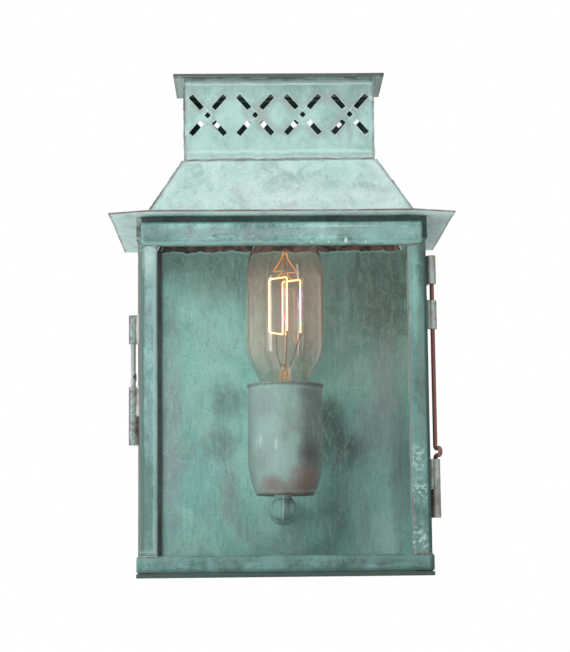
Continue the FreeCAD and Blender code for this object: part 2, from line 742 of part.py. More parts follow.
def bulb_solid(inset):
    # The neck ends at the cup's rim; above it come shoulder, straight wall and dome.
    neck, wall = BULB_NECK / 2 - inset, BULB_OUTER / 2 - inset
    low, neck_top = BULB_BASE + inset, CUP_TOP + inset
    wall_low = CUP_TOP + BULB_SHOULDER
    wall_top = wall_low + BULB_STRAIGHT
    top = wall_top + BULB_DOME - inset
    return turned([
        line(0, low, neck, low),
        line(neck, low, neck, neck_top),
        quarter((neck, neck_top), (wall, wall_low), SHOULDER_FULLNESS, True),
        line(wall, wall_low, wall, wall_top),
        quarter((wall, wall_top), (0, top), DOME_FULLNESS, False),
        line(0, top, 0, low),
    ])


def bulb_stem():
    # Flare at the neck, tube up to the press, thin rod and the button that holds the upper wires.
    outline = [
        (0, STEM_BASE),
        (STEM_FLARE / 2, STEM_BASE),
        (STEM_TUBE / 2, STEM_BASE + STEM_TAPER),
        (STEM_TUBE / 2, STEM_BASE + STEM_PRESS),
        (STEM_ROD / 2, STEM_BASE + STEM_PRESS),
        (STEM_ROD / 2, STEM_BASE + STEM_RISE - STEM_BUTTON),
        (STEM_BUTTON / 2, STEM_BASE + STEM_RISE - STEM_BUTTON / 2),
        (STEM_ROD / 2, STEM_BASE + STEM_RISE),
        (0, STEM_BASE + STEM_RISE),
    ]
    following = outline[1:] + outline[:1]
    return turned([line(*start, *end) for start, end in zip(outline, following)])


def cage_points():
    # Legs stand on a circle, the first at the right. The gap between the two ends is at the front right.
    step = 360 / CAGE_LEGS
    points = []
    for index in range(CAGE_LEGS):
        angle = math.radians(CAGE_TURN + step * index)
        points.append(CENTRE + Vec(math.cos(angle), math.sin(angle), 0) * CAGE_RADIUS)
    return points


def bulb_filament():
    # One wire up and down round the cage, bent at the top and at the bottom by turns.
    bottom, top = UP * CAGE_FOOT, UP * CAGE_HEAD
    legs = cage_points()
    runs = []
    for index, leg in enumerate(legs):
        runs.append(rod(leg + bottom, leg + top, FILAMENT / 2))
        runs.append(Part.makeSphere(FILAMENT / 2, leg + top))
        runs.append(Part.makeSphere(FILAMENT / 2, leg + bottom))
        if index + 1 < CAGE_LEGS:
            level = top if index % 2 == 0 else bottom
            runs.append(rod(leg + level, legs[index + 1] + level, FILAMENT / 2))
    return runs[0].fuse(runs[1:]).removeSplitter()


def bulb_supports():
    # Wires from the button to the upper bends, and from the press to the lower bends and the ends.
    legs = cage_points()
    bends = [(legs[index] + legs[index + 1]) * 0.5 for index in range(CAGE_LEGS - 1)]
    short = FILAMENT / 2 + SUPPORT_WIRE / 2 + FIT
    button = STEM_BASE + STEM_RISE - STEM_BUTTON / 2
    press = STEM_BASE + STEM_PRESS - SUPPORT_WIRE
    spans = [(spot, button, STEM_BUTTON / 2, CAGE_HEAD + short) for spot in bends[0::2]]
    lower = bends[1::2] + [legs[0], legs[-1]]
    spans += [(spot, press, STEM_TUBE / 2, CAGE_FOOT - short) for spot in lower]
    wires = []
    for spot, root_height, root_radius, end_height in spans:
        outward = (spot - CENTRE).normalize()
        root = CENTRE + outward * (root_radius + SUPPORT_WIRE / 2 + FIT) + UP * root_height
        wires.append(rod(root, spot + UP * end_height, SUPPORT_WIRE / 2))
    return Part.Compound(wires)


def save(name, shape):
    placed = shape.copy()
    placed.translate(UP * -ARM_HEIGHT)
    placed.exportStep("parts/" + name + ".step")


def save_pair(name, right):
    save(name + "_right", right)
    save(name + "_left", mirrored(right))


def main():
    os.makedirs("parts", exist_ok=True)

    save("back_plate", back_plate())
    save("base_pan", base_pan())
    save_pair("post_front", angle_post(-BODY_FRONT, 1, POST_FACE))
    save_pair("post_rear", angle_post(-BACK_SHEET, -1, REAR_FLANGE))
    save_pair("rail_side_top", side_rail(BRIM_HEIGHT - SIDE_RAIL_TOP, BRIM_HEIGHT, BRIM_HEIGHT - SHEET))
    save_pair("rail_side_bottom", side_rail(PAN_LIP, PAN_LIP + SIDE_RAIL_LOW, PAN_LIP))
    save_pair("glass", side_pane())
    save_pair("glass_tabs", side_tabs())
    save("collar", collar())

    roof_front, roof_right = roof_sheets()
    save("roof_front", roof_front)
    save_pair("roof", roof_right)

    save("chimney_front", chimney_front())
    save("chimney_back", pierced_panel(CHIMNEY_WIDTH))
    save_pair("chimney", chimney_side())
    save("chimney_cap", chimney_cap())

    save("knuckle_body_top", body_knuckle(HINGE_TOP_BODY, PIN_BORE))
    save("knuckle_body_low", body_knuckle(HINGE_LOW_BODY, PIN_BORE))
    save("latch_keeper", mirrored(body_knuckle(LATCH_KEEPER, BOLT_BORE)))

    save("arm_rose", arm_rose())
    save("arm_nut", nut(Vec(0, -BACK_SHEET - ROSE_THICK, ARM_HEIGHT), Vec(0, -1, 0)))
    save("lamp_arm", lamp_arm())
    save("ball_elbow", ball_elbow())
    save("holder_nipple", holder_nipple())
    save("holder_nut", nut(CENTRE + UP * (BALL_TOP + SHEET), UP))
    save("holder_cup", holder_cup())
    save("holder_insulator", holder_insulator())
    save("holder_shell", holder_shell())
    save("holder_contact", holder_contact())
    save("bulb_cap", bulb_cap())
    save("bulb_glass", bulb_solid(0).cut(bulb_solid(BULB_WALL)))
    save("bulb_stem", bulb_stem())
    save("bulb_filament", bulb_filament())
    save("bulb_supports", bulb_supports())

    save("door_rail_top", door_rail(HALF_DOOR - TOP_RAIL_INSET, STILE_TOP, DOOR_TOP, STILE_TOP))
    save("door_rail_bottom", door_rail(HALF_DOOR + BOTTOM_RAIL_LAP, DOOR_FOOT, STILE_LOW, STILE_LOW))
    save_pair("door_stile", door_stile())
    save("door_glass", door_pane())
    save("door_glass_tabs", door_tabs())
    save("knuckle_door_top", door_knuckle(HINGE_TOP_DOOR, PIN_BORE))
    save("knuckle_door_low", door_knuckle(HINGE_LOW_DOOR, PIN_BORE))
    save("hinge_pin", hinge_pin())
    save("latch_guide_top", mirrored(door_knuckle(LATCH_TOP, BOLT_BORE)))
    save("latch_guide_low", mirrored(door_knuckle(LATCH_LOW, BOLT_BORE)))
    save("latch_bolt", latch_bolt())


main()
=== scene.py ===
"""Looks for a wall lantern in verdigris brass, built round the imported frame."""

import math

import bmesh
import bpy
from bpy.props import FloatProperty, FloatVectorProperty, PointerProperty
from mathutils import Matrix, Vector, noise
from mathutils.kdtree import KDTree


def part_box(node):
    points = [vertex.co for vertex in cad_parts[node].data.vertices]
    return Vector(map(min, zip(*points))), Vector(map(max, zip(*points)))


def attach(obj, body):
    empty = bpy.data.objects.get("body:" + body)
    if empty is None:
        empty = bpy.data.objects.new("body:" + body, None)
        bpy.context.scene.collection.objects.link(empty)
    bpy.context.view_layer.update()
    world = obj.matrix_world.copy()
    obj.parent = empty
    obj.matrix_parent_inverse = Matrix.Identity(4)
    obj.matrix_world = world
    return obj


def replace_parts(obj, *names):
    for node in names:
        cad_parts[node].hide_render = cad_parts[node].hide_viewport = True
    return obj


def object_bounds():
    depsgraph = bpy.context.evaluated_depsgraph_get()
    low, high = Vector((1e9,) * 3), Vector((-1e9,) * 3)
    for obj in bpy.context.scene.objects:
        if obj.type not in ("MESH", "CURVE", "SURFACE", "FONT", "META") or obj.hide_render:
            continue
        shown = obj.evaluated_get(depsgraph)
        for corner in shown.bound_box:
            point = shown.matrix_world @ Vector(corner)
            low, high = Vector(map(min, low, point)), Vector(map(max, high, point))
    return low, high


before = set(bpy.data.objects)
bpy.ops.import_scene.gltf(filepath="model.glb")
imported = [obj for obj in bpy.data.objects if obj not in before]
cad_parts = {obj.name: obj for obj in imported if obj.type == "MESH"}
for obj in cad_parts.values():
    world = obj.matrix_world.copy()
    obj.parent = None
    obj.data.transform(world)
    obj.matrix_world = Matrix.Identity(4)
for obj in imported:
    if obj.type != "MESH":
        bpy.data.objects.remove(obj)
CAD_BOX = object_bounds()

bl_info = {
    "name": "Verdigris Wall Lantern",
    "version": (1, 0, 0),
    "blender": (4, 5, 0),
    "location": "View3D > Sidebar > Lantern",
    "description": "Patina, solder, glazing and lamp of a wall lantern",
    "category": "Object",
}

X, Y, Z = range(3)
UP = Vector((0, 0, 1))
WHITE = (1, 1, 1)

# Lengths in metres
MM = 0.001
MERGE = 0.002 * MM
CUT_MERGE = 0.001 * MM
RIM_SPACING = 1.5 * MM
RIM_GAP = 0.1 * MM
SHEET_LEAST = 6 * MM
FINE_GRID = 3 * MM
PAN_GRID = 5 * MM
WARP_SPAN = 85 * MM
DENT_SPAN = 30 * MM
BEAD_STEP = 0.9 * MM
BEAD_LUMPS = 0.7 * MM
FLOOR_HEIGHT = -0.32
FLOOR_RADIUS = 2.4
FLOOR_FADE = (0.45, 1.05)
LIGHT_AIM = Vector((0, -0.08, 0.14))
CAMERA_PLACE = (-0.0209, -1.4112, -0.0449)

# Lengths in millimetres
EDGE_REACH = 15.0
DENT_MARGIN = 12.0
DROOP_X = (96.0, 125.0)
DROOP_Y = (120.0, 165.0)
LAMP_Y = -75.0
DOOR_FACE = -153.5
SOOT_LINE = 209.2
HIP_FOOT = (100.0, -140.0, 211.2)
HIP_HEAD = (76.0, -61.2, 271.4)
SEAM_STEP = 4.0
DROP_DEPTH = 0.5
BULB_WALL = 0.55
BULB_NECK = 17.0
BULB_DOME = 38.0
BULB_TUBE = 46.0
BULB_SHOULDER = 42.0
PRESS_RISE = 36.4
CAGE_RADIUS = 12.0
LEAN_FOOT = 10.0
LEAN_START = 1.6

# Angles in radians
SHARP_ANGLE = math.radians(28)
TURNED_ANGLE = math.radians(40)
GROWN_ANGLE = math.radians(60)

# Angles in degrees
CAMERA_ANGLES = (1.008, 7.827, 0.637)
CAGE_TURN = 7.0

# Counts, shares and noise
CAGE_LEGS = 4
BULB_RINGS = 4
LEAN = 0.007
DROP_TIP = 0.62
DENT_SHIFT = Vector((7.1, 3.3, 9.7))
WARP_SEED = 5

PLATE_TONES = ("plate_base", "plate_pale", "plate_shade")
FRAME_TONES = ("frame_base", "frame_pale", "frame_shade")
FOOT_TONES = ("low_rail", "frame_base", "frame_shade")

noise.seed_set(WARP_SEED)


def tint(red, green, blue):
    """A linear colour from 8-bit display values."""
    shares = [value / 255 for value in (red, green, blue)]
    return tuple(s / 12.92 if s <= 0.04045 else ((s + 0.055) / 1.055) ** 2.4 for s in shares)


def colour(name, description, *display):
    return FloatVectorProperty(
        name=name, description=description, subtype="COLOR", size=3, min=0.0, max=1.0, default=tint(*display)
    )


def length(name, description, millimetres):
    size = millimetres * MM
    return FloatProperty(
        name=name, description=description, subtype="DISTANCE", unit="LENGTH", min=0.0, default=size
    )


def level(name, description, value):
    return FloatProperty(name=name, description=description, min=0.0, default=value)


class LanternColours(bpy.types.PropertyGroup):
    """Colours of the patina, the bare metal and the lamp, and of painted shade, highlights and glow."""

    roof_base: colour("Roof", "Verdigris of hood and brim", 184, 219, 213)
    roof_pale: colour("Roof bloom", "Chalky bloom on hood and chimney", 214, 236, 232)
    roof_shade: colour("Roof shade", "Thin verdigris on hood and chimney", 146, 180, 174)
    tower_base: colour("Chimney", "Verdigris of chimney and cap", 146, 185, 178)
    plate_base: colour("Back plate", "Verdigris inside the lantern", 138, 200, 192)
    plate_pale: colour("Back plate bloom", "Chalky runs on the back plate", 170, 220, 212)
    plate_shade: colour("Back plate shade", "Thin verdigris on the back plate", 106, 142, 135)
    frame_base: colour("Frame", "Verdigris of door, posts and base", 106, 146, 140)
    frame_pale: colour("Frame bloom", "Chalky streaks on the frame", 146, 190, 184)
    frame_shade: colour("Frame shade", "Dark verdigris on the frame", 78, 106, 101)
    head_rail: colour("Head rail", "Verdigris of the door's head", 112, 152, 148)
    low_rail: colour("Foot rail", "Verdigris of the door's foot and the base", 62, 92, 85)
    # Painted shade along folds and rounded edges that face away from the light; also the dark tone of the
    # collar, the foot rail, the base's front lip and the left rear post.
    deep_shade: colour("Deep shade", "Verdigris in the folds that face away from the light", 32, 66, 61)
    turned_base: colour("Lampholder", "Verdigris of cup and arm", 136, 153, 151)
    turned_pale: colour("Lampholder bloom", "Chalky patches on cup and arm", 154, 182, 176)
    turned_shade: colour("Lampholder shade", "Dark verdigris on cup and arm", 132, 142, 140)
    haze: colour("Haze", "Grey lavender clouds in the verdigris", 158, 170, 176)
    stain: colour("Stain", "Pinkish grey stains in the verdigris", 158, 168, 164)
    film: colour("Film", "Grey brown film in the verdigris", 100, 112, 106)
    # Painted shade: the cup's cast shadow and the dark upper right corner on the back plate, and the cap's
    # front strip.
    painted_shade: colour("Murk", "Dark green film behind the lamp", 74, 92, 85)
    # Also painted highlights: the top of the left stile, a line along the head rail, and the ball's rim and
    # middle line.
    splash: colour("Dried splashes", "Pale splashes on the door", 196, 222, 214)
    bare: colour("Bare metal", "Brown metal at worn edges and seams", 104, 80, 72)
    # Also painted shade: the cup's shadow on the back plate, and the dark of the left rear post and the
    # collar.
    soot_and_shade: colour("Soot", "Dark brown film in corners", 62, 50, 46)
    rust: colour("Red patches", "Reddish oxide patches", 134, 92, 86)
    solder: colour("Solder", "Pale solder along the seams", 176, 186, 181)
    copper: colour("Copper wire", "Hinge pin", 122, 84, 74)
    tube: colour("Tubes", "Rolled tubes of hinge and latch", 128, 142, 138)
    tube_pale: colour("Tube bloom", "Pale solder film on the tubes", 214, 212, 204)
    glow: colour("Glow", "Lit filament", 255, 222, 158)
    ember: colour("Ember", "Warm light on wires and round the filament", 255, 168, 58)
    # Painted glow: the bulb's glass glows faintly in this colour round the filament's height.
    blush: colour("Blush", "Faint light caught by the bulb's glass", 255, 140, 118)
    bulb_tint: colour("Bulb tint", "Warm tint of the bulb's glass", 255, 240, 234)


class LanternShapes(bpy.types.PropertyGroup):
    """Sizes of the hand-made unevenness and of the details."""

    warp: length("Warp", "Slow unevenness of the hand-cut sheet", 0.45)
    dent: length("Dents", "Shallow dents in the middle of a sheet", 0.35)
    droop: length("Brim droop", "How far the brim's front corners hang", 2.0)
    grid: length("Cut", "Spacing of the cuts that let a sheet bend", 4.0)
    bead: length("Solder bead", "Radius of a solder seam", 0.55)
    filament: length("Filament", "Radius of the lit filament", 0.27)
    sleeve: length("Glow sleeve", "Radius of the glow round the filament", 0.8)
    wire: length("Lamp wire", "Radius of the wires that hold the filament", 0.34)


class LanternStudio(bpy.types.PropertyGroup):
    """Light and lens of the stage."""

    key: level("Key light", "Power of the soft light at the left", 17.5)
    fill: level("Fill light", "Power of the strip at the right", 4.0)
    top: level("Top light", "Power of the soft light overhead", 10.0)
    bounce: level("Bounce", "Power of the light thrown up from below", 2.9)
    sky: level("Surround", "Level of the even light all round", 0.36)
    lens: FloatProperty(name="Lens", description="Focal length", default=97.6, min=1.0, unit="CAMERA")


def swatch(tone):
    """One of the lantern's colours by its name, or a colour as it is."""
    if isinstance(tone, str):
        return getattr(bpy.context.scene.lantern_colours, tone)
    return tone


def box_mm(node):
    """The lowest and highest corner of a CAD node, in millimetres."""
    return [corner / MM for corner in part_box(node)]


class Board:
    """A node tree under construction; most methods return an output socket."""

    def __init__(self, tree):
        self.tree = tree

    def put(self, kind, sockets=None, **options):
        """Adds a node, sets its options, feeds its sockets values or links and returns its outputs."""
        node = self.tree.nodes.new(kind)
        for option, value in options.items():
            setattr(node, option, value)
        for key, value in (sockets or {}).items():
            socket = node.inputs[key]
            if isinstance(value, bpy.types.NodeSocket):
                self.tree.links.new(value, socket)
            elif socket.type == "RGBA":
                socket.default_value = (*value[:3], 1.0)
            else:
                socket.default_value = value
        return node.outputs

    def calc(self, operation, first, second=0.0):
        return self.put("ShaderNodeMath", {0: first, 1: second}, operation=operation)[0]

    def times(self, first, second):
        return self.calc("MULTIPLY", first, second)

    def plus(self, first, second):
        return self.calc("ADD", first, second)

    def minus(self, first, second):
        return self.calc("SUBTRACT", first, second)

    def most(self, first, second):
        return self.calc("MAXIMUM", first, second)

    def apart(self, first, second):
        """How far two values are from each other."""
        return self.calc("ABSOLUTE", self.minus(first, second))

    def mixed(self, amount, first, second):
        """Two shaders, by the amount of the second."""
        return self.put("ShaderNodeMixShader", {0: amount, 1: first, 2: second})[0]

    def seen_rays(self):
        """1 for what the camera sees, directly, in a reflection or through glass."""
        path = self.put("ShaderNodeLightPath")
        seen = path["Is Camera Ray"]
        for ray in ("Is Glossy Ray", "Is Transmission Ray"):
            seen = self.most(seen, path[ray])
        return seen


class Paint(Board):
    """A material under construction; tone is its colour so far."""

    def __init__(self, name, tone):
        self.material = bpy.data.materials.new(name)
        self.material.use_nodes = True
        super().__init__(self.material.node_tree)
        self.tree.nodes.clear()
        self.place = self.put("ShaderNodeTexCoord")["Object"]
        self.tone = swatch(tone)

    def noise(self, scale, seed=0.0, detail=5.0, roughness=0.55, distortion=0.0, turn=0.0):
        """Noise with so many features per metre, on all axes or each, turned about y by some degrees."""
        spot = self.place
        if turn:
            sockets = {"Vector": spot, "Rotation": (0.0, math.radians(turn), 0.0)}
            spot = self.put("ShaderNodeMapping", sockets)[0]
        if not isinstance(scale, tuple):
            scale = (scale, scale, scale)
        shift = (seed, seed * 0.7, seed * -1.3)
        spot = self.put("ShaderNodeMapping", {"Vector": spot, "Location": shift, "Scale": scale})[0]
        look = {"Scale": 1.0, "Detail": detail, "Roughness": roughness, "Distortion": distortion}
        return self.put("ShaderNodeTexNoise", {"Vector": spot, **look})["Fac"]

    def ramp(self, value, start, end, top=1.0):
        """0 at start, top at end, eased between; start may be the higher one."""
        sockets = {"Value": value, "From Min": start, "From Max": end, "To Min": 0.0, "To Max": top}
        return self.put("ShaderNodeMapRange", sockets, interpolation_type="SMOOTHSTEP")[0]

    def axis(self, index):
        """The place along an axis, in millimetres."""
        return self.times(self.put("ShaderNodeSeparateXYZ", {0: self.place})[index], 1 / MM)

    def attribute(self, name):
        return self.put("ShaderNodeAttribute", attribute_name=name)["Fac"]

    def wash(self, tone, amount):
        """Lays a colour over the tone."""
        layers = {0: amount, 6: self.tone, 7: swatch(tone)}
        self.tone = self.put("ShaderNodeMix", layers, data_type="RGBA")[2]

    def drift(self, value, scale, seed, detail, roughness, wobble):
        """A value that wanders by noise, up to half the wobble to either side."""
        sway = self.minus(self.noise(scale, seed, detail, roughness), 0.5)
        return self.plus(value, self.times(sway, wobble))

    def near(self, value, centre, width, wobble, top=1.0):
        """A band of the given half width round a position, with a wandering border; in millimetres."""
        away = self.apart(self.drift(value, 90, 4.2, 4, 0.55, wobble), centre)
        return self.ramp(away, width, width * 0.55, top)

    def blot(self, x, z, wide, tall, top=1.0, rag=0.5):
        """A ragged patch seen from the front; its place and half sizes are in millimetres."""
        far = 0.0
        for index, centre, size in ((X, x, wide), (Z, z, tall)):
            away = self.calc("DIVIDE", self.minus(self.axis(index), centre), size)
            far = self.plus(far, self.calc("POWER", away, 2.0))
        sway = self.minus(self.noise((120, 120, 60), x + z, 8, 0.7, 0.6), 0.5)
        return self.ramp(self.plus(far, self.times(sway, rag * 6)), 1.5, -0.5, top)

    def blots(self, tone, rag, *spots):
        """Patches of one colour; each spot holds x, z, half sizes and strength."""
        for spot in spots:
            self.wash(tone, self.blot(*spot, rag))

    def bump(self, height, strength, distance):
        sockets = {"Height": height, "Strength": strength, "Distance": distance}
        return self.put("ShaderNodeBump", sockets)[0]

    def surface(self, shader):
        self.put("ShaderNodeOutputMaterial", {"Surface": shader})
        return self.material

    def principled(self, **sockets):
        """A shader in the tone so far, or in another where it is given."""
        named = {key.replace("_", " "): value for key, value in sockets.items()}
        return self.put("ShaderNodeBsdfPrincipled", {"Base Color": self.tone, **named})[0]


def patina(name, tones, grain=Z, streak=0.5, haze=0.6, mottle=0.3, wear=0.7, edge=0.9, zoom=1.0, seed=0.0,
           depth=1.0, under=None, marks=None):
    """Layered verdigris: clouds, haze, brushing on one axis, dabs, dried rims, scratches, worn edges."""
    base, pale, shade = tones
    paint = Paint(name, base)

    def field(x, y, z, shift, detail, roughness=0.6, distortion=0.0, turn=0.0):
        scale = (x * zoom, y * zoom * depth, z * zoom * depth)
        return paint.noise(scale, seed + shift, detail, roughness, distortion, turn)

    def along(across, lengthwise, shift):
        scale = [across] * 3
        scale[grain] = lengthwise
        return field(*scale, shift, 5, 0.6, 0.5)

    def tinge(value, high, low, amount):
        """Pale where a value is high, shade where it is low."""
        paint.wash(pale, paint.ramp(value, *high, amount))
        paint.wash(shade, paint.ramp(value, *low, amount))

    cloud = field(26, 26, 22, 0, 8, 0.6, 0.8)
    paint.wash(pale, paint.ramp(cloud, 0.42, 0.62))
    paint.wash(shade, paint.ramp(field(13, 13, 11, 3, 6, 0.6, 0.8), 0.5, 0.33, 0.8))
    paint.wash("haze", paint.ramp(field(21, 21, 13, 7, 7, 0.62, 1.2), 0.5, 0.63, haze))
    if under is not None:
        under(paint)
    tinge(along(46, 11, 11), (0.54, 0.7), (0.46, 0.3), streak * 0.7)
    brush = along(460, 75, 13)
    tinge(brush, (0.52, 0.68), (0.48, 0.32), streak * 0.8)
    dab = field(85, 85, 70, 19, 9, 0.68, 0.7)
    tinge(dab, (0.55, 0.6), (0.44, 0.38), mottle)
    puddle = field(36, 36, 30, 17, 4, 0.5, 2.0)
    paint.wash(pale, paint.ramp(puddle, 0.53, 0.56, mottle * 0.7))
    paint.wash(pale, paint.ramp(paint.apart(puddle, 0.53), 0.012, 0.002, mottle))
    for turn, shift in ((14.0, 31.0), (-38.0, 37.0), (62.0, 41.0)):
        scratch = field(620, 620, 55, shift, 3, 0.5, 0.6, turn)
        paint.wash(pale, paint.ramp(scratch, 0.62, 0.72, 0.4))
    fine = paint.noise(520, seed, 4, 0.65)
    paint.wash(shade, paint.ramp(fine, 0.52, 0.72, 0.5))
    paint.wash(pale, paint.ramp(fine, 0.46, 0.28, 0.4))
    fleck = field(190, 190, 130, 23, 5, 0.65, 0.6)
    paint.wash("bare", paint.ramp(fleck, 0.68, 0.76, 0.5))
    if marks is not None:
        marks(paint)
    rough = paint.ramp(cloud, 0.25, 0.75, 0.3)
    metallic = 0.0
    if wear > 0:
        distance = paint.attribute("edge_mm")
        ragged = paint.minus(field(110, 110, 110, 29, 6, 0.65), 0.5)
        rim = paint.plus(distance, paint.times(ragged, 3.0))
        paint.wash(pale, paint.ramp(paint.apart(rim, edge * 3.2), edge * 1.4, 0.0, 0.35))
        worn = paint.ramp(rim, edge * 1.8, edge * 0.4, wear * 0.75)
        bare = paint.most(worn, paint.ramp(distance, edge, edge * 0.3, wear))
        paint.wash("bare", bare)
        rough = paint.minus(rough, paint.times(bare, 0.2))
        metallic = paint.times(bare, 0.4)
    height = paint.times(cloud, 0.5)
    for layer, weight in ((dab, 0.5), (brush, 0.25), (fine, 0.22)):
        height = paint.plus(height, paint.times(layer, weight))
    shader = paint.principled(
        Metallic=metallic,
        Roughness=paint.plus(rough, 0.45),
        Normal=paint.bump(height, 0.5, 0.7 * MM),
    )
    return paint.surface(shader)


def metal_finish(name, base, pale, dark, metallic, rough, seed):
    """Drawn or rolled metal with patchy tarnish and fine drawing lines along z."""
    paint = Paint(name, base)
    patch = paint.noise((60, 60, 38), seed, 6, 0.62, 0.8)
    paint.wash(pale, paint.ramp(patch, 0.5, 0.7, 0.85))
    paint.wash(dark, paint.ramp(patch, 0.46, 0.3, 0.9))
    drawn = paint.noise((900, 900, 30), seed + 2, 3, 0.5)
    paint.wash(dark, paint.ramp(drawn, 0.5, 0.75, 0.3))
    shader = paint.principled(
        Metallic=metallic,
        Roughness=paint.plus(paint.ramp(patch, 0.3, 0.7, 0.3), rough),
        Normal=paint.bump(paint.plus(drawn, patch), 0.25, 0.25 * MM),
    )
    return paint.surface(shader)


def solder_finish():
    """Lumpy pale solder with brown patches."""
    paint = Paint("solder", "roof_shade")
    lump = paint.noise(240, 1.0, 5, 0.6)
    paint.wash("solder", paint.ramp(lump, 0.38, 0.6))
    paint.wash("bare", paint.ramp(paint.noise(70, 5.0), 0.44, 0.6, 0.85))
    shader = paint.principled(
        Metallic=0.25,
        Roughness=paint.plus(paint.ramp(lump, 0.3, 0.7, 0.25), 0.4),
        Normal=paint.bump(lump, 0.4, 0.3 * MM),
    )
    return paint.surface(shader)


def clear_glass(name, tone, index, bloom=WHITE, strength=0.0, lit=None):
    """Clear glass that light from lamps and walls passes straight; smears show as slightly dull patches.

    The glass glows in the bloom colour, a painted glow, between the two heights of lit where they are given.
    """
    paint = Paint(name, tone)
    smear = paint.noise((14, 14, 10), 2.0, 5, 0.6, 1.2)
    if lit is not None:
        low, high = lit
        height = paint.axis(Z)
        rising = paint.ramp(height, low - 24, low, strength)
        strength = paint.times(rising, paint.ramp(height, high + 20, high))
    shader = paint.principled(
        Roughness=paint.ramp(smear, 0.55, 0.8, 0.05),
        IOR=index,
        Transmission_Weight=1.0,
        Emission_Color=swatch(bloom),
        Emission_Strength=strength,
    )
    path = paint.put("ShaderNodeLightPath")
    through = paint.put("ShaderNodeBsdfTransparent", {"Color": paint.tone})[0]
    for ray in ("Is Diffuse Ray", "Is Shadow Ray"):
        shader = paint.mixed(path[ray], shader, through)
    return paint.surface(shader)


def sharp_points(bm, low, high, rim_only):
    """Points along the sharp and open edges of a mesh; those of a sheet's own rim alone, or all."""
    points = []
    wide = [axis for axis in (X, Y, Z) if high[axis] - low[axis] > SHEET_LEAST]
    for edge in bm.edges:
        if len(edge.link_faces) == 2 and edge.calc_face_angle(0.0) < SHARP_ANGLE:
            continue
        start, end = edge.verts[0].co, edge.verts[1].co
        middle = (start + end) / 2
        gap = min(min(middle[axis] - low[axis], high[axis] - middle[axis]) for axis in wide)
        if rim_only and gap > RIM_GAP:
            continue
        count = max(1, math.ceil((end - start).length / RIM_SPACING))
        points.extend(start.lerp(end, index / count) for index in range(count + 1))
    return points


def cut_on_grid(bm, spacing):
    """Cuts a mesh on an even grid, so that it can bend and carry an edge distance."""
    for axis in (X, Y, Z):
        places = [vert.co[axis] for vert in bm.verts]
        low, span = min(places), max(places) - min(places)
        count = round(span / spacing)
        normal = Vector((0, 0, 0))
        normal[axis] = 1.0
        for index in range(1, count):
            geometry = [*bm.verts, *bm.edges, *bm.faces]
            at = normal * (low + span * index / count)
            bmesh.ops.bisect_plane(bm, geom=geometry, dist=CUT_MERGE, plane_co=at, plane_no=normal)


def share(value, start, end):
    """How far a value has come from start to end, from 0 to 1."""
    return min(1.0, max(0.0, (value - start) / (end - start)))


def warped(point, height):
    """A point moved by the slow unevenness that all the sheet shares."""
    return point + noise.noise_vector(point / WARP_SPAN) * height


def dented(point, height, rim_distance):
    """How far a point in the middle of a sheet moves; nothing at the rims."""
    inward = share(rim_distance, 0.0, DENT_MARGIN)
    return noise.noise_vector(point / DENT_SPAN + DENT_SHIFT) * height * inward * inward


def drooped(point, droop):
    """The brim's front corners hang a little."""
    return point - UP * (droop * share(abs(point.x) / MM, *DROOP_X) * share(-point.y / MM, *DROOP_Y))


def leaned(point):
    """A point of cup or bulb, moved as the bent nipple leans them."""
    return point + Vector((LEAN_START * MM + (point.z - LEAN_FOOT * MM) * LEAN, 0, 0))


def held(point):
    """A point kept inside the frame's own box."""
    low, high = CAD_BOX
    return Vector(min(max(point[axis], low[axis]), high[axis]) for axis in (X, Y, Z))


def placed(name, mesh, body, material=None):
    """A mesh as a piece of the lantern that rides on a body."""
    piece = bpy.data.objects.new(name, mesh)
    bpy.context.scene.collection.objects.link(piece)
    if material is not None:
        mesh.materials.clear()
        mesh.materials.append(material)
    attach(piece, body)
    return piece


def distances_to(points, bm):
    """How far each vertex is from the nearest of some points, in millimetres and up to a limit."""
    tree = KDTree(len(points))
    for index, point in enumerate(points):
        tree.insert(point, index)
    tree.balance()
    return [min(EDGE_REACH, tree.find(vert.co)[2] / MM) for vert in bm.verts]


def dress(node, material, body="lantern", spacing=None, droop=0.0, dents=0.0,
          pierced=False, inside=None, bend=None, kept=None):
    """Stands a bent, worn copy of a CAD node in for it.

    inside tells which points face the inner side, and kept which points of an edge carry no wear. Both get
    millimetres.
    """
    shapes = bpy.context.scene.lantern_shapes
    low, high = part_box(node)
    bm = bmesh.new()
    bm.from_mesh(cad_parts[node].data)
    bmesh.ops.remove_doubles(bm, verts=bm.verts[:], dist=MERGE)
    rims = sharp_points(bm, low, high, pierced)
    if kept is not None:
        rims = [point for point in rims if not kept(point / MM)]
    holes = sharp_points(bm, low, high, False)
    cut_on_grid(bm, spacing or shapes.grid)
    values = {"edge_mm": distances_to(rims, bm)}
    if pierced:
        values["slot_mm"] = distances_to(holes, bm)
    if inside is not None:
        values["inner"] = [float(inside(vert.co / MM)) for vert in bm.verts]
    for vert, distance in zip(bm.verts, values["edge_mm"]):
        shift = dented(vert.co, shapes.dent * dents, distance)
        spot = drooped(warped(vert.co, shapes.warp) + shift, droop)
        vert.co = held(bend(spot) if bend else spot)
    mesh = bpy.data.meshes.new(node + "_skin")
    bm.to_mesh(mesh)
    bm.free()
    for name, numbers in values.items():
        mesh.attributes.new(name, "FLOAT", "POINT").data.foreach_set("value", numbers)
    mesh.shade_smooth()
    mesh.set_sharp_from_angle(angle=SHARP_ANGLE)
    piece = placed(node + "_skin", mesh, body, material)
    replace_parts(piece, node)


def paint_nodes(material, *nodes):
    """Gives CAD nodes that stay their finish."""
    for node in nodes:
        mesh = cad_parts[node].data
        for index in range(len(mesh.materials)):
            mesh.materials[index] = material


def path_mesh(name, paths, bend):
    """Open paths, given in millimetres, as loose edges whose points are bent."""
    points, edges = [], []
    for path in paths:
        start = len(points)
        points.extend(bend(Vector(point) * MM) for point in path)
        edges.extend((start + index, start + index + 1) for index in range(len(path) - 1))
    mesh = bpy.data.meshes.new(name)
    mesh.from_pydata(points, edges, [])
    return mesh


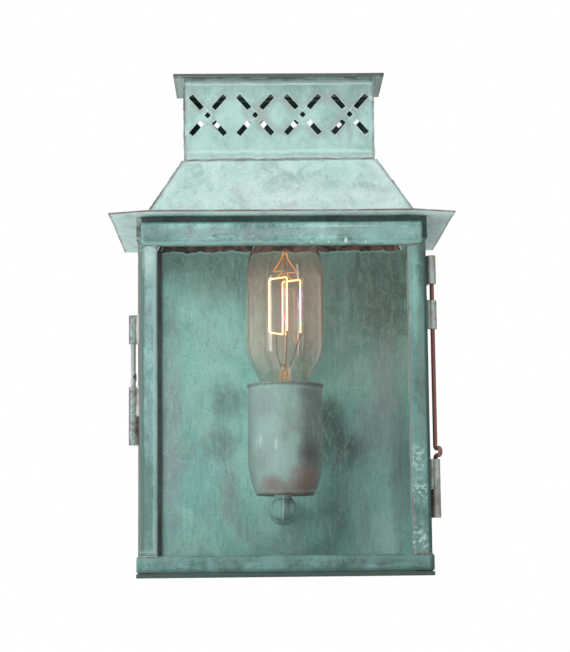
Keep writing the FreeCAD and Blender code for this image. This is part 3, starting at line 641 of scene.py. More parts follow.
def growth(name, **inputs):
    """A board on a new geometry tree, and what the tree is given: geometry, named inputs and a material."""
    tree = bpy.data.node_groups.new(name, "GeometryNodeTree")
    tree.interface.new_socket("Geometry", in_out="INPUT", socket_type="NodeSocketGeometry")
    tree.interface.new_socket("Geometry", in_out="OUTPUT", socket_type="NodeSocketGeometry")
    for label, kind in {**inputs, "Material": "Material"}.items():
        tree.interface.new_socket(label, in_out="INPUT", socket_type="NodeSocket" + kind)
    board = Board(tree)
    return board, board.put("NodeGroupInput")


def tube(board, path, radius, sides, **sockets):
    """A capped round tube along a path."""
    ring = board.put("GeometryNodeCurvePrimitiveCircle", {"Resolution": sides, "Radius": radius})[0]
    sockets = {"Curve": path, "Profile Curve": ring, "Fill Caps": True, **sockets}
    return board.put("GeometryNodeCurveToMesh", sockets)[0]


def finished(board, geometry, given):
    """Ends a geometry tree with real, painted meshes."""
    geometry = board.put("GeometryNodeRealizeInstances", {"Geometry": geometry})[0]
    sockets = {"Geometry": geometry, "Material": given["Material"]}
    painted = board.put("GeometryNodeSetMaterial", sockets)[0]
    board.put("NodeGroupOutput", {"Geometry": painted})
    return board.tree


def bead_tree():
    """Lays a lumpy solder bead along every path."""
    board, given = growth("Solder Bead", Radius="Float", Lumps="Float", Seed="Float")
    place = board.put("GeometryNodeInputPosition")[0]

    def rough(scale):
        sockets = {"Vector": place, "W": given["Seed"], "Scale": scale, "Detail": 2.0}
        return board.put("ShaderNodeTexNoise", sockets, noise_dimensions="4D")

    path = board.put("GeometryNodeMeshToCurve", {"Mesh": given["Geometry"]})[0]
    path = board.put("GeometryNodeResampleCurve", {"Curve": path, "Length": BEAD_STEP}, mode="LENGTH")[0]
    span = {"From Min": 0.3, "From Max": 0.72, "To Min": 0.35, "To Max": 1.5}
    swell = board.put("ShaderNodeMapRange", {"Value": rough(210.0)["Fac"], **span})[0]
    bead = tube(board, path, given["Radius"], 8, Scale=swell)
    sockets = {0: rough(620.0)["Color"], 1: (0.5, 0.5, 0.5)}
    lump = board.put("ShaderNodeVectorMath", sockets, operation="SUBTRACT")[0]
    lump = board.put("ShaderNodeVectorMath", {0: lump, "Scale": given["Lumps"]}, operation="SCALE")[0]
    bead = board.put("GeometryNodeSetPosition", {"Geometry": bead, "Offset": lump})[0]
    return finished(board, bead, given)


def wire_tree():
    """Draws a round wire along every path, with rounded bends."""
    board, given = growth("Lamp Wire", Radius="Float", Bend="Float")
    path = board.put("GeometryNodeMeshToCurve", {"Mesh": given["Geometry"]})[0]
    sockets = {"Curve": path, "Count": 5, "Radius": given["Bend"], "Limit Radius": True}
    path = board.put("GeometryNodeFilletCurve", sockets, mode="POLY")[0]
    return finished(board, tube(board, path, given["Radius"], 10), given)


def drip_tree():
    """Sets a flat drop on every point, as wide and long as the point says."""
    board, given = growth("Dried Drops", Drop="Object")
    drop = board.put("GeometryNodeObjectInfo", {"Object": given["Drop"]})["Geometry"]
    named = {"Name": "drop_size"}
    size = board.put("GeometryNodeInputNamedAttribute", named, data_type="FLOAT_VECTOR")["Attribute"]
    points = board.put("GeometryNodeMeshToPoints", {"Mesh": given["Geometry"]})[0]
    sockets = {"Points": points, "Instance": drop, "Scale": size}
    return finished(board, board.put("GeometryNodeInstanceOnPoints", sockets)[0], given)


def grown(name, mesh, tree, values, body):
    """Runs a geometry tree on a mesh and keeps the result as a plain piece."""
    source = bpy.data.objects.new(name + "_source", mesh)
    bpy.context.scene.collection.objects.link(source)
    modifier = source.modifiers.new("Grow", "NODES")
    modifier.node_group = tree
    keys = {item.name: item.identifier for item in tree.interface.items_tree if item.in_out == "INPUT"}
    for label, value in values.items():
        modifier[keys[label]] = value
    graph = bpy.context.evaluated_depsgraph_get()
    result = bpy.data.meshes.new_from_object(source.evaluated_get(graph), depsgraph=graph)
    source.modifiers.remove(modifier)
    bpy.data.objects.remove(source)
    if not result.polygons:
        raise RuntimeError(name + " came out empty")
    result.name = name
    bm = bmesh.new()
    bm.from_mesh(result)
    bmesh.ops.remove_doubles(bm, verts=bm.verts[:], dist=MERGE)
    bmesh.ops.recalc_face_normals(bm, faces=bm.faces[:])
    bm.to_mesh(result)
    bm.free()
    result.shade_smooth()
    result.set_sharp_from_angle(angle=GROWN_ANGLE)
    return placed(name, result, body)


def lathe(name, outline, sides):
    """A closed turned mesh round the lamp's axis.

    outline holds (radius, z) in millimetres, and ends on the axis or closes.
    """
    bm = bmesh.new()
    rings = []
    for radius, height in outline:
        ring = []
        for index in range(sides if radius else 1):
            angle = 2 * math.pi * index / sides
            spot = (radius * math.cos(angle), LAMP_Y + radius * math.sin(angle), height)
            ring.append(bm.verts.new(leaned(Vector(spot) * MM)))
        rings.append(ring)
    if len(rings[0]) > 1:
        rings.append(rings[0])
    for lower, upper in zip(rings, rings[1:]):
        for index in range(sides):
            after = (index + 1) % sides
            corners = [lower[index % len(lower)], lower[after % len(lower)]]
            corners += [upper[after % len(upper)], upper[index % len(upper)]]
            unique = list(dict.fromkeys(corners))
            if len(unique) > 2:
                bm.faces.new(unique)
    bmesh.ops.recalc_face_normals(bm, faces=bm.faces[:])
    mesh = bpy.data.meshes.new(name)
    bm.to_mesh(mesh)
    bm.free()
    mesh.shade_smooth()
    mesh.set_sharp_from_angle(angle=TURNED_ANGLE)
    return mesh


def curve(poles, count):
    """Points of the smooth curve that four poles in (radius, z) draw, without the first."""
    points = []
    for index in range(1, count + 1):
        t = index / count
        weights = ((1 - t) ** 3, 3 * t * (1 - t) ** 2, 3 * t * t * (1 - t), t**3)
        points.append(tuple(sum(w * p[axis] for w, p in zip(weights, poles)) for axis in (0, 1)))
    return points


class LANTERN_OT_dress_roof(bpy.types.Operator):
    """Hood, brim, chimney and cap as hand-cut sheet under pale verdigris"""

    bl_idname = "lantern.dress_roof"
    bl_label = "Dress Roof"

    def execute(self, context):
        low, high = box_mm("chimney_front")
        brim = box_mm("roof_front")[0]
        reach = CAD_BOX[1].x / MM

        def hood_marks(paint):
            front = paint.ramp(paint.axis(Y), brim.y + 1.3, brim.y + 0.6)
            side = paint.ramp(paint.apart(paint.axis(X), 0.0), reach - 1.3, reach - 0.6)
            patch = paint.plus(paint.ramp(paint.noise(50, 3.0), 0.4, 0.6, 0.55), 0.25)
            paint.wash("bare", paint.times(paint.most(front, side), patch))

        def chimney_marks(paint):
            height = paint.axis(Z)
            paint.wash("bare", paint.near(height, low.z, 2.2, 3, 0.85))
            for rise, wide, top in ((2.6, 0.8, 0.8), (7.5, 1.6, 0.5)):
                paint.wash("roof_pale", paint.near(height, low.z + rise, wide, 5, top))
            # Painted shade: the chimney's top band darkened under the cap's overhang.
            paint.wash("film", paint.ramp(height, high.z - 4.6, high.z - 2.4, 0.8))
            paint.wash("roof_pale", paint.near(height, high.z - 5.2, 0.9, 3, 0.9))
            slot = paint.attribute("slot_mm")
            smudge = paint.ramp(paint.noise(45, 6.0, 5, 0.6, 0.6), 0.42, 0.62, 0.8)
            paint.wash("stain", paint.times(paint.ramp(slot, 7.0, 0.5), smudge))
            paint.wash("roof_pale", paint.ramp(slot, 0.9, 0.3, 0.6))
            paint.wash("low_rail", paint.ramp(paint.attribute("inner"), 0.2, 0.6))

        def lid_marks(paint):
            paint.wash("stain", paint.times(paint.attribute("inner"), 0.7))
            # Painted shade: the cap's front strip darkened, where the hood blocks the light from below.
            paint.wash("painted_shade", paint.ramp(paint.axis(Y), low.y + 1.5, low.y - 1.5, 0.85))

        def mitre(point):
            return reach - abs(point.x) > 0.5 and point.y - brim.y > 0.5 and point.z < brim.z + 2.0

        def beneath(point):
            return point.z < high.z + 0.6

        def within(point):
            return abs(point.x) < high.x - 0.5 and low.y + 0.5 < point.y < -0.5

        tones = ("roof_base", "roof_pale", "roof_shade")
        hood = patina("verdigris_hood", tones, streak=0.25, haze=0.45, mottle=0.5, edge=1.2, seed=1.4,
                      depth=0.5, marks=hood_marks)
        tones = ("tower_base", "roof_base", "roof_shade")
        tower = patina("verdigris_chimney", tones, streak=0.2, haze=0.6, mottle=0.4, edge=1.0, seed=8.6,
                       marks=chimney_marks)
        lid = patina("verdigris_cap", tones, streak=0.2, haze=0.5, mottle=0.4, edge=1.2, seed=4.1,
                     marks=lid_marks)
        droop = context.scene.lantern_shapes.droop
        for side in ("front", "left", "right"):
            dress("roof_" + side, hood, droop=droop, dents=1.0, kept=mitre)
        for side in ("front", "back", "left", "right"):
            dress("chimney_" + side, tower, dents=0.6, pierced=True, inside=within)
        dress("chimney_cap", lid, dents=0.6, inside=beneath)
        return {"FINISHED"}


class LANTERN_OT_dress_body(bpy.types.Operator):
    """Back plate, posts, side rails, collar and base"""

    bl_idname = "lantern.dress_body"
    bl_label = "Dress Body"

    def execute(self, context):
        plate_face = box_mm("back_plate")[0].y
        collar_low, collar_high = box_mm("collar")
        pan_front = box_mm("base_pan")[0].y

        def plate_clouds(paint):
            paint.blots("haze", 0.5, (-89, 60, 13, 110, 0.9), (84, 95, 13, 80, 0.9))
            paint.blots("plate_pale", 0.5, (-63, 115, 18, 60, 0.6))
            # Painted shade: the upper left and upper right of the back plate darkened, under the roof and
            # towards the right.
            paint.blots("film", 0.25, (55, 165, 48, 62, 0.75), (-36, 195, 62, 34, 0.85))
            paint.blots("film", 0.35, (-44, 88, 13, 19, 0.7), (-48, 54, 15, 15, 0.7))
            paint.blots("stain", 0.5, (-42, 12, 9, 24, 0.8))
            # Painted shade: the dark upper right corner, and the cup's cast shadow on the plate to its right.
            paint.blots("painted_shade", 0.2, (86, 184, 32, 56, 1.0), (40, 72, 14, 22, 1.0))
            paint.blots("painted_shade", 0.2, (48, 48, 22, 18, 0.8), (38, 8, 18, 28, 0.4))
            # Painted shadow of the cup on the plate's inner face, to the right of the cup.
            inner = paint.attribute("inner")
            for x, z, wide, tall in ((36, 76, 13, 12), (46, 62, 14, 11), (56, 49, 17, 12)):
                paint.wash("soot_and_shade", paint.times(inner, paint.blot(x, z, wide, tall, 0.42, 0.2)))
            paint.blots("plate_pale", 0.4, (64, 8, 14, 32, 0.7), (80, -4, 20, 48, 1.0))
            paint.blots("roof_pale", 0.5, (80, -22, 18, 24, 0.55))
            paint.blots("haze", 0.4, (94, 34, 9, 60, 0.75), (68, 66, 12, 34, 0.75), (66, -8, 6, 22, 0.75))

        def plate_marks(paint):
            rise = paint.drift(paint.axis(Z), (75, 75, 20), 3.0, 6, 0.62, 10)
            inner = paint.attribute("inner")
            crest = paint.ramp(paint.apart(rise, SOOT_LINE), 1.3, 0.3, 0.7)
            paint.wash("plate_pale", paint.times(inner, crest))
            smoke = paint.times(inner, paint.ramp(rise, SOOT_LINE + 0.1, SOOT_LINE + 1.1))
            paint.wash("soot_and_shade", smoke)
            red = paint.ramp(paint.noise(120, 9.0), 0.46, 0.58, 0.85)
            paint.wash("rust", paint.times(smoke, red))

        def within(point):
            return point.y < plate_face + 0.2

        def collar_marks(paint):
            paint.wash("low_rail", paint.ramp(paint.axis(Z), collar_high.z - 2.6, collar_high.z - 4.6, 0.3))
            patch = paint.plus(paint.ramp(paint.noise(190, 2.0), 0.44, 0.58, 0.7), 0.1)
            end = paint.times(paint.ramp(paint.axis(X), collar_low.x + 4.1, collar_low.x + 3.1), patch)
            front = paint.ramp(paint.axis(Y), collar_low.y + 1.2, collar_low.y + 0.2)
            paint.wash("solder", paint.times(end, front))

        def pan_marks(paint):
            # The front lip darker.
            paint.wash("deep_shade", paint.ramp(paint.axis(Y), pan_front + 1.4, pan_front + 0.6))

        plate = patina("verdigris_plate", PLATE_TONES, streak=0.45, haze=0.45, mottle=0.12, seed=5.2,
                       under=plate_clouds, marks=plate_marks)
        flange = patina("verdigris_flange", PLATE_TONES, streak=0.45, haze=0.6, mottle=0.12, wear=0.0,
                        seed=1.2, under=plate_clouds)
        post = patina("verdigris_post", FRAME_TONES, streak=0.6, seed=2.7)
        rail = patina("verdigris_rail", FRAME_TONES, grain=Y, streak=0.6, seed=3.3)
        # Dark tones: painted shade on the left rear post; on the collar partly its own dark patina and partly
        # painted shade under the brim.
        dark = ("deep_shade", "frame_shade", "soot_and_shade")
        shaded_post = patina("verdigris_nook", dark, streak=0.4, haze=0.0, wear=0.3, seed=2.7)
        band = patina("verdigris_collar", dark, grain=X, haze=0.0, wear=0.0, seed=4.4, marks=collar_marks)
        pan = patina("verdigris_pan", FOOT_TONES, grain=X, haze=0.2, wear=0.25, seed=6.1, marks=pan_marks)
        dress("back_plate", plate, dents=1.0, inside=within)
        # The left rear post stands in painted shade; the right one keeps the plate's tones.
        dress("post_rear_left", shaded_post)
        dress("post_rear_right", flange)
        for side in ("left", "right"):
            dress("post_front_" + side, post)
            dress("rail_side_top_" + side, rail)
            dress("rail_side_bottom_" + side, rail)
        dress("collar", band)
        dress("base_pan", pan, spacing=PAN_GRID, dents=1.0)
        return {"FINISHED"}


class LANTERN_OT_dress_door(bpy.types.Operator):
    """Stiles and rails of the door"""

    bl_idname = "lantern.dress_door"
    bl_label = "Dress Door"

    def execute(self, context):
        inner, outer = (corner.x for corner in box_mm("door_stile_right"))
        head_low, head_high = box_mm("door_rail_top")
        foot_low, foot_high = box_mm("door_rail_bottom")

        def stile_marks(paint):
            across = paint.axis(X)
            paint.wash("haze", paint.near(across, -inner - 1.9, 1.6, 2, 0.55))
            # Painted shade on the rounded outer edge of the left stile.
            paint.wash("frame_shade", paint.near(across, -outer + 1.5, 3.0, 3, 0.85))
            paint.wash("rust", paint.near(across, -outer + 0.3, 0.7, 1, 0.5))
            # The lower part of the left stile darker.
            paint.blots("frame_shade", 0.5, (-99, 5, 9, 62, 0.8))
            # Painted highlight: a pale band on the upper right stile, near its inner edge.
            paint.blots("frame_pale", 0.5, (94, 155, 5, 40, 0.8))
            paint.wash("rust", paint.near(across, inner + 0.5, 0.7, 0.8, 0.45))
            # Painted highlight at the top of the left stile.
            paint.blots("splash", 0.3, (-96, 178, 6, 16, 0.7))
            # Painted shade on the outer half of the right stile.
            paint.blots("film", 0.4, (99, 90, 3.5, 60, 0.6))
            sponge = paint.ramp(paint.noise(330, 2.0, 6, 0.7), 0.46, 0.62)
            for z, tall in ((32, 12), (10, 10), (-26, 12)):
                paint.wash("roof_base", paint.times(paint.blot(95, z, 9, tall, 0.9, 0.4), sponge))
            # Painted shade on the right stile's rounded outer edge, which faces away from the light.
            paint.wash("deep_shade", paint.ramp(across, outer - 3.3, outer - 1.1, 0.95))

        def head_marks(paint):
            height = paint.axis(Z)
            paint.wash("haze", paint.near(height, head_low.z + 10.7, 3.2, 4, 0.4))
            # Painted shade on the rounded lower and upper edges of the head rail.
            paint.wash("frame_shade", paint.ramp(height, head_low.z + 6.2, head_low.z + 0.7, 0.85))
            paint.wash("frame_shade", paint.ramp(height, head_high.z - 2.6, head_high.z - 0.4, 0.7))
            # Painted highlight: a pale line near the top of the rail, right of the middle.
            painted_highlight = paint.near(height, head_high.z - 4.0, 0.7, 0.6, 0.8)
            paint.wash("splash", paint.times(painted_highlight, paint.blot(38, 201, 34, 8, 1.0, 0.3)))
            paint.blots("frame_shade", 0.4, (-84, 196, 24, 12, 0.6))
            paint.blots("frame_pale", 0.5, (72, 196, 30, 9, 0.6))
            # Painted shade at the rail's right end, which faces away from the light.
            paint.wash("deep_shade", paint.ramp(paint.axis(X), head_high.x - 2.5, head_high.x - 0.2, 0.8))

        def foot_marks(paint):
            # Painted shade on the rounded lower edge and the right end of the foot rail.
            paint.wash("deep_shade", paint.ramp(paint.axis(Z), foot_low.z + 4.2, foot_low.z + 0.6, 0.7))
            paint.wash("deep_shade", paint.ramp(paint.axis(X), foot_high.x - 4.3, foot_high.x - 1.9, 0.85))

        stile = patina("verdigris_stile", FRAME_TONES, streak=0.7, haze=0.5, seed=7.9, marks=stile_marks)
        tones = ("head_rail", "plate_pale", "low_rail")
        head = patina("verdigris_head_rail", tones, grain=X, streak=0.5, seed=9.5, marks=head_marks)
        tones = ("low_rail", "frame_base", "deep_shade")
        foot = patina("verdigris_foot_rail", tones, grain=X, streak=0.6, haze=0.2, wear=0.5, seed=2.2,
                      marks=foot_marks)
        # The right stile takes the darker foot tones as painted shade, since the light falls from the top
        # left.
        worn = patina("verdigris_hinge_stile", FOOT_TONES, streak=0.7, haze=0.2, mottle=0.5, seed=5.7,
                      marks=stile_marks)
        bars = {"stile_left": stile, "stile_right": worn, "rail_top": head, "rail_bottom": foot}
        for bar, material in bars.items():
            dress("door_" + bar, material, body="door", spacing=FINE_GRID, dents=0.4)
        self.drops()
        return {"FINISHED"}

    def drops(self):
        """Dried drops of solder along the head rail, each with its place and half sizes in millimetres."""
        spots = [(21.4, 189.2, 0.7, 0.8), (33.8, 189.1, 0.6, 0.7), (46.1, 190.5, 1.3, 2.2)]
        spots += [(60.5, 188.9, 0.7, 1.2), (10.2, 202.2, 0.6, 0.6)]
        mesh = bpy.data.meshes.new("drops")
        mesh.from_pydata([Vector((x, DOOR_FACE, z)) * MM for x, z, wide, tall in spots], [], [])
        sizes = [value * MM for x, z, wide, tall in spots for value in (wide, DROP_DEPTH, tall)]
        mesh.attributes.new("drop_size", "FLOAT_VECTOR", "POINT").data.foreach_set("vector", sizes)
        bm = bmesh.new()
        bmesh.ops.create_uvsphere(bm, u_segments=16, v_segments=10, radius=1.0)
        for vert in bm.verts:
            vert.co.x *= 1 - (1 - DROP_TIP) * max(0.0, vert.co.z)
        blob = bpy.data.meshes.new("blob")
        bm.to_mesh(blob)
        bm.free()
        drop = bpy.data.objects.new("blob", blob)
        bpy.context.scene.collection.objects.link(drop)
        finish = metal_finish("dried_drop", "splash", "roof_pale", "roof_shade", 0.0, 0.35, 1.0)
        values = {"Drop": drop, "Material": finish}
        grown("dried_drops", mesh, drip_tree(), values, "door")
        bpy.data.objects.remove(drop)


class LANTERN_OT_finish_fittings(bpy.types.Operator):
    """Rolled tubes, hinge pin, latch bolt and pane tabs"""

    bl_idname = "lantern.finish_fittings"
    bl_label = "Finish Fittings"

    def execute(self, context):
        edge = box_mm("door_stile_right")[1].x

        def tube_marks(paint):
            across = paint.axis(X)
            aside = paint.apart(across, 0.0)
            # Painted shade along both rounded sides of each tube.
            for reach, wide, top in ((7.7, 1.3, 0.5), (2.1, 0.8, 0.4)):
                paint.wash("bare", paint.near(aside, edge + reach, wide, 2, top))
            paint.wash("tube_pale", paint.near(across, -edge - 0.7, 1.5, 6, 0.8))
            paint.wash("tube_pale", paint.ramp(across, edge + 0.5, edge + 3.5, 0.35))
            paint.wash("bare", paint.ramp(paint.noise((130, 130, 90), 3.0, 6, 0.65, 0.8), 0.52, 0.62, 0.6))
            paint.blots("bare", 0.2, (108, 0, 9, 13, 0.6))
            # Painted shade on the right tubes' side next to the stile.
            shade_by_stile = paint.ramp(across, edge + 1.7, edge + 0.9, 0.5)
            paint.wash("deep_shade", paint.times(shade_by_stile, paint.ramp(across, 0.0, 1.0)))

        tones = ("tube", "roof_shade", "bare")
        rolled = patina("tube_tarnish", tones, streak=0.2, haze=0.7, mottle=0.7, wear=0.0, zoom=2.4, seed=2.0,
                        marks=tube_marks)
        pin = metal_finish("pin_copper", "copper", "rust", "soot_and_shade", 0.5, 0.35, 4.0)
        bolt = metal_finish("bolt_tarnish", "stain", "tube_pale", "frame_base", 0.2, 0.45, 6.0)
        tab = metal_finish("tab_tarnish", *PLATE_TONES, 0.1, 0.5, 8.0)
        paint_nodes(rolled, "knuckle_body_top", "knuckle_body_low", "knuckle_door_top", "knuckle_door_low")
        paint_nodes(rolled, "latch_keeper", "latch_guide_top", "latch_guide_low")
        paint_nodes(pin, "hinge_pin")
        paint_nodes(bolt, "latch_bolt")
        paint_nodes(tab, "glass_tabs_left", "glass_tabs_right", "door_glass_tabs")
        return {"FINISHED"}


class LANTERN_OT_solder(bpy.types.Operator):
    """Solder beads along the seams of roof, chimney and door"""

    bl_idname = "lantern.solder"
    bl_label = "Solder Seams"

    def execute(self, context):
        shapes = context.scene.lantern_shapes
        tree = bead_tree()
        values = {"Radius": shapes.bead, "Lumps": BEAD_LUMPS, "Seed": 1.0, "Material": solder_finish()}
        low, high = box_mm("chimney_front")
        sides = [(low.x, -1.0), (low.x, low.y), (high.x, low.y), (high.x, -1.0)]
        seams = [[(x, y, z) for x, y in sides] for z in (low.z + 0.3, high.z - 0.2)]
        for side in (-1, 1):
            seams.append([(side * high.x, low.y, low.z), (side * high.x, low.y, high.z)])
            seams.append([(side * x, y, z) for x, y, z in (HIP_FOOT, HIP_HEAD)])
        self.lay("solder_roof", seams, tree, values, "lantern", shapes.warp)
        inner, outer = (corner.x for corner in box_mm("door_stile_right"))
        heights = (box_mm("door_rail_top")[0].z, box_mm("door_rail_bottom")[1].z)
        rows = []
        for side in (-1, 1):
            for height in heights:
                rows.append([(side * x, DOOR_FACE + 0.5, height) for x in (inner + 0.5, outer - 0.5)])
        self.lay("solder_door", rows, tree, values, "door", shapes.warp)
        return {"FINISHED"}

    def lay(self, name, paths, tree, values, body, warp):
        """Beads along paths that bend with the sheet."""

        def bend(point):
            return warped(point, warp)

        fine = []
        for path in paths:
            points = []
            for start, end in zip(path, path[1:]):
                start, end = Vector(start), Vector(end)
                count = max(1, round((end - start).length / SEAM_STEP))
                points.extend(start.lerp(end, index / count) for index in range(count))
            fine.append([*points, path[-1]])
        grown(name, path_mesh(name, fine, bend), tree, values, body)


class LANTERN_OT_glaze(bpy.types.Operator):
    """Panes of the door and the sides"""

    bl_idname = "lantern.glaze"
    bl_label = "Glaze"

    def execute(self, context):
        pane = clear_glass("pane_clear", (0.96, 0.985, 0.975), 1.2)
        paint_nodes(pane, "door_glass", "glass_left", "glass_right")
        return {"FINISHED"}


class LANTERN_OT_lampholder(bpy.types.Operator):
    """Arm, ball, cup and the holder inside it"""

    bl_idname = "lantern.lampholder"
    bl_label = "Finish Lampholder"

    def execute(self, context):
        def cup_clouds(paint):
            across = paint.drift(paint.axis(X), (40, 40, 34), 6.0, 5, 0.55, 14)
            # The right side darker: partly grey-brown film, partly painted shade on the side away from the
            # light.
            paint.wash("film", paint.ramp(across, 9, 16, 0.8))

        def cup_marks(paint):
            paint.blots("soot_and_shade", 0.3, (19, 41, 10, 13, 0.85))
            paint.blots("rust", 0.3, (-9, 18, 9, 7, 0.8), (16, 23, 13, 11, 0.9))
            paint.blots("rust", 0.3, (9, 14, 12, 8, 0.7), (2, 11, 26, 4, 0.7))
            for x, z, wide, tall in ((-20, 47, 1.0, 4), (-17, 50, 1.5, 5), (-5.5, 48, 1.4, 5)):
                paint.blots("splash", 0.7, (x, z, wide, tall, 0.7))

        def ball_marks(paint):
            paint.blots("film", 0.3, (3, 1, 7, 8, 0.8))
            # Painted highlight: a pale ring round the ball's outline as seen from the front.
            paint.wash("splash", paint.ramp(paint.apart(paint.axis(Y), LAMP_Y - 1.6), 1.9, 0.9, 0.8))
            # Painted reflection: a pale upright line down the middle of the ball.
            paint.wash("splash", paint.near(paint.axis(X), -0.4, 0.8, 2, 0.8))
            paint.blots("plate_pale", 0.2, (6.5, 0, 1.8, 5, 0.8))

        tones = ("turned_base", "turned_pale", "turned_shade")
        cup = patina("verdigris_cup", tones, streak=0.4, haze=0.7, mottle=0.3, wear=0.5, seed=3.8,
                     under=cup_clouds, marks=cup_marks)
        turned = patina("verdigris_turned", tones, haze=0.2, wear=0.0, zoom=2.0, seed=6.6)
        tones = ("frame_pale", "plate_pale", "frame_shade")
        ball = patina("verdigris_ball", tones, haze=0.1, wear=0.0, zoom=2.0, seed=6.6, marks=ball_marks)
        dress("holder_cup", cup, bend=leaned)
        paint_nodes(ball, "ball_elbow")
        paint_nodes(turned, "lamp_arm", "arm_rose", "arm_nut", "holder_nipple", "holder_nut")
        brass = metal_finish("holder_brass", tint(168, 140, 92), tint(196, 170, 120), "bare", 0.8, 0.3, 3.0)
        paint_nodes(brass, "holder_shell", "holder_contact", "bulb_cap")
        paint = Paint("porcelain_glaze", tint(226, 222, 210))
        craze = paint.noise(120, 2.0, 4)
        paint.wash(tint(198, 192, 178), paint.ramp(craze, 0.45, 0.7, 0.5))
        shader = paint.principled(Roughness=paint.plus(paint.ramp(craze, 0.4, 0.7, 0.15), 0.18))
        paint_nodes(paint.surface(shader), "holder_insulator")
        return {"FINISHED"}


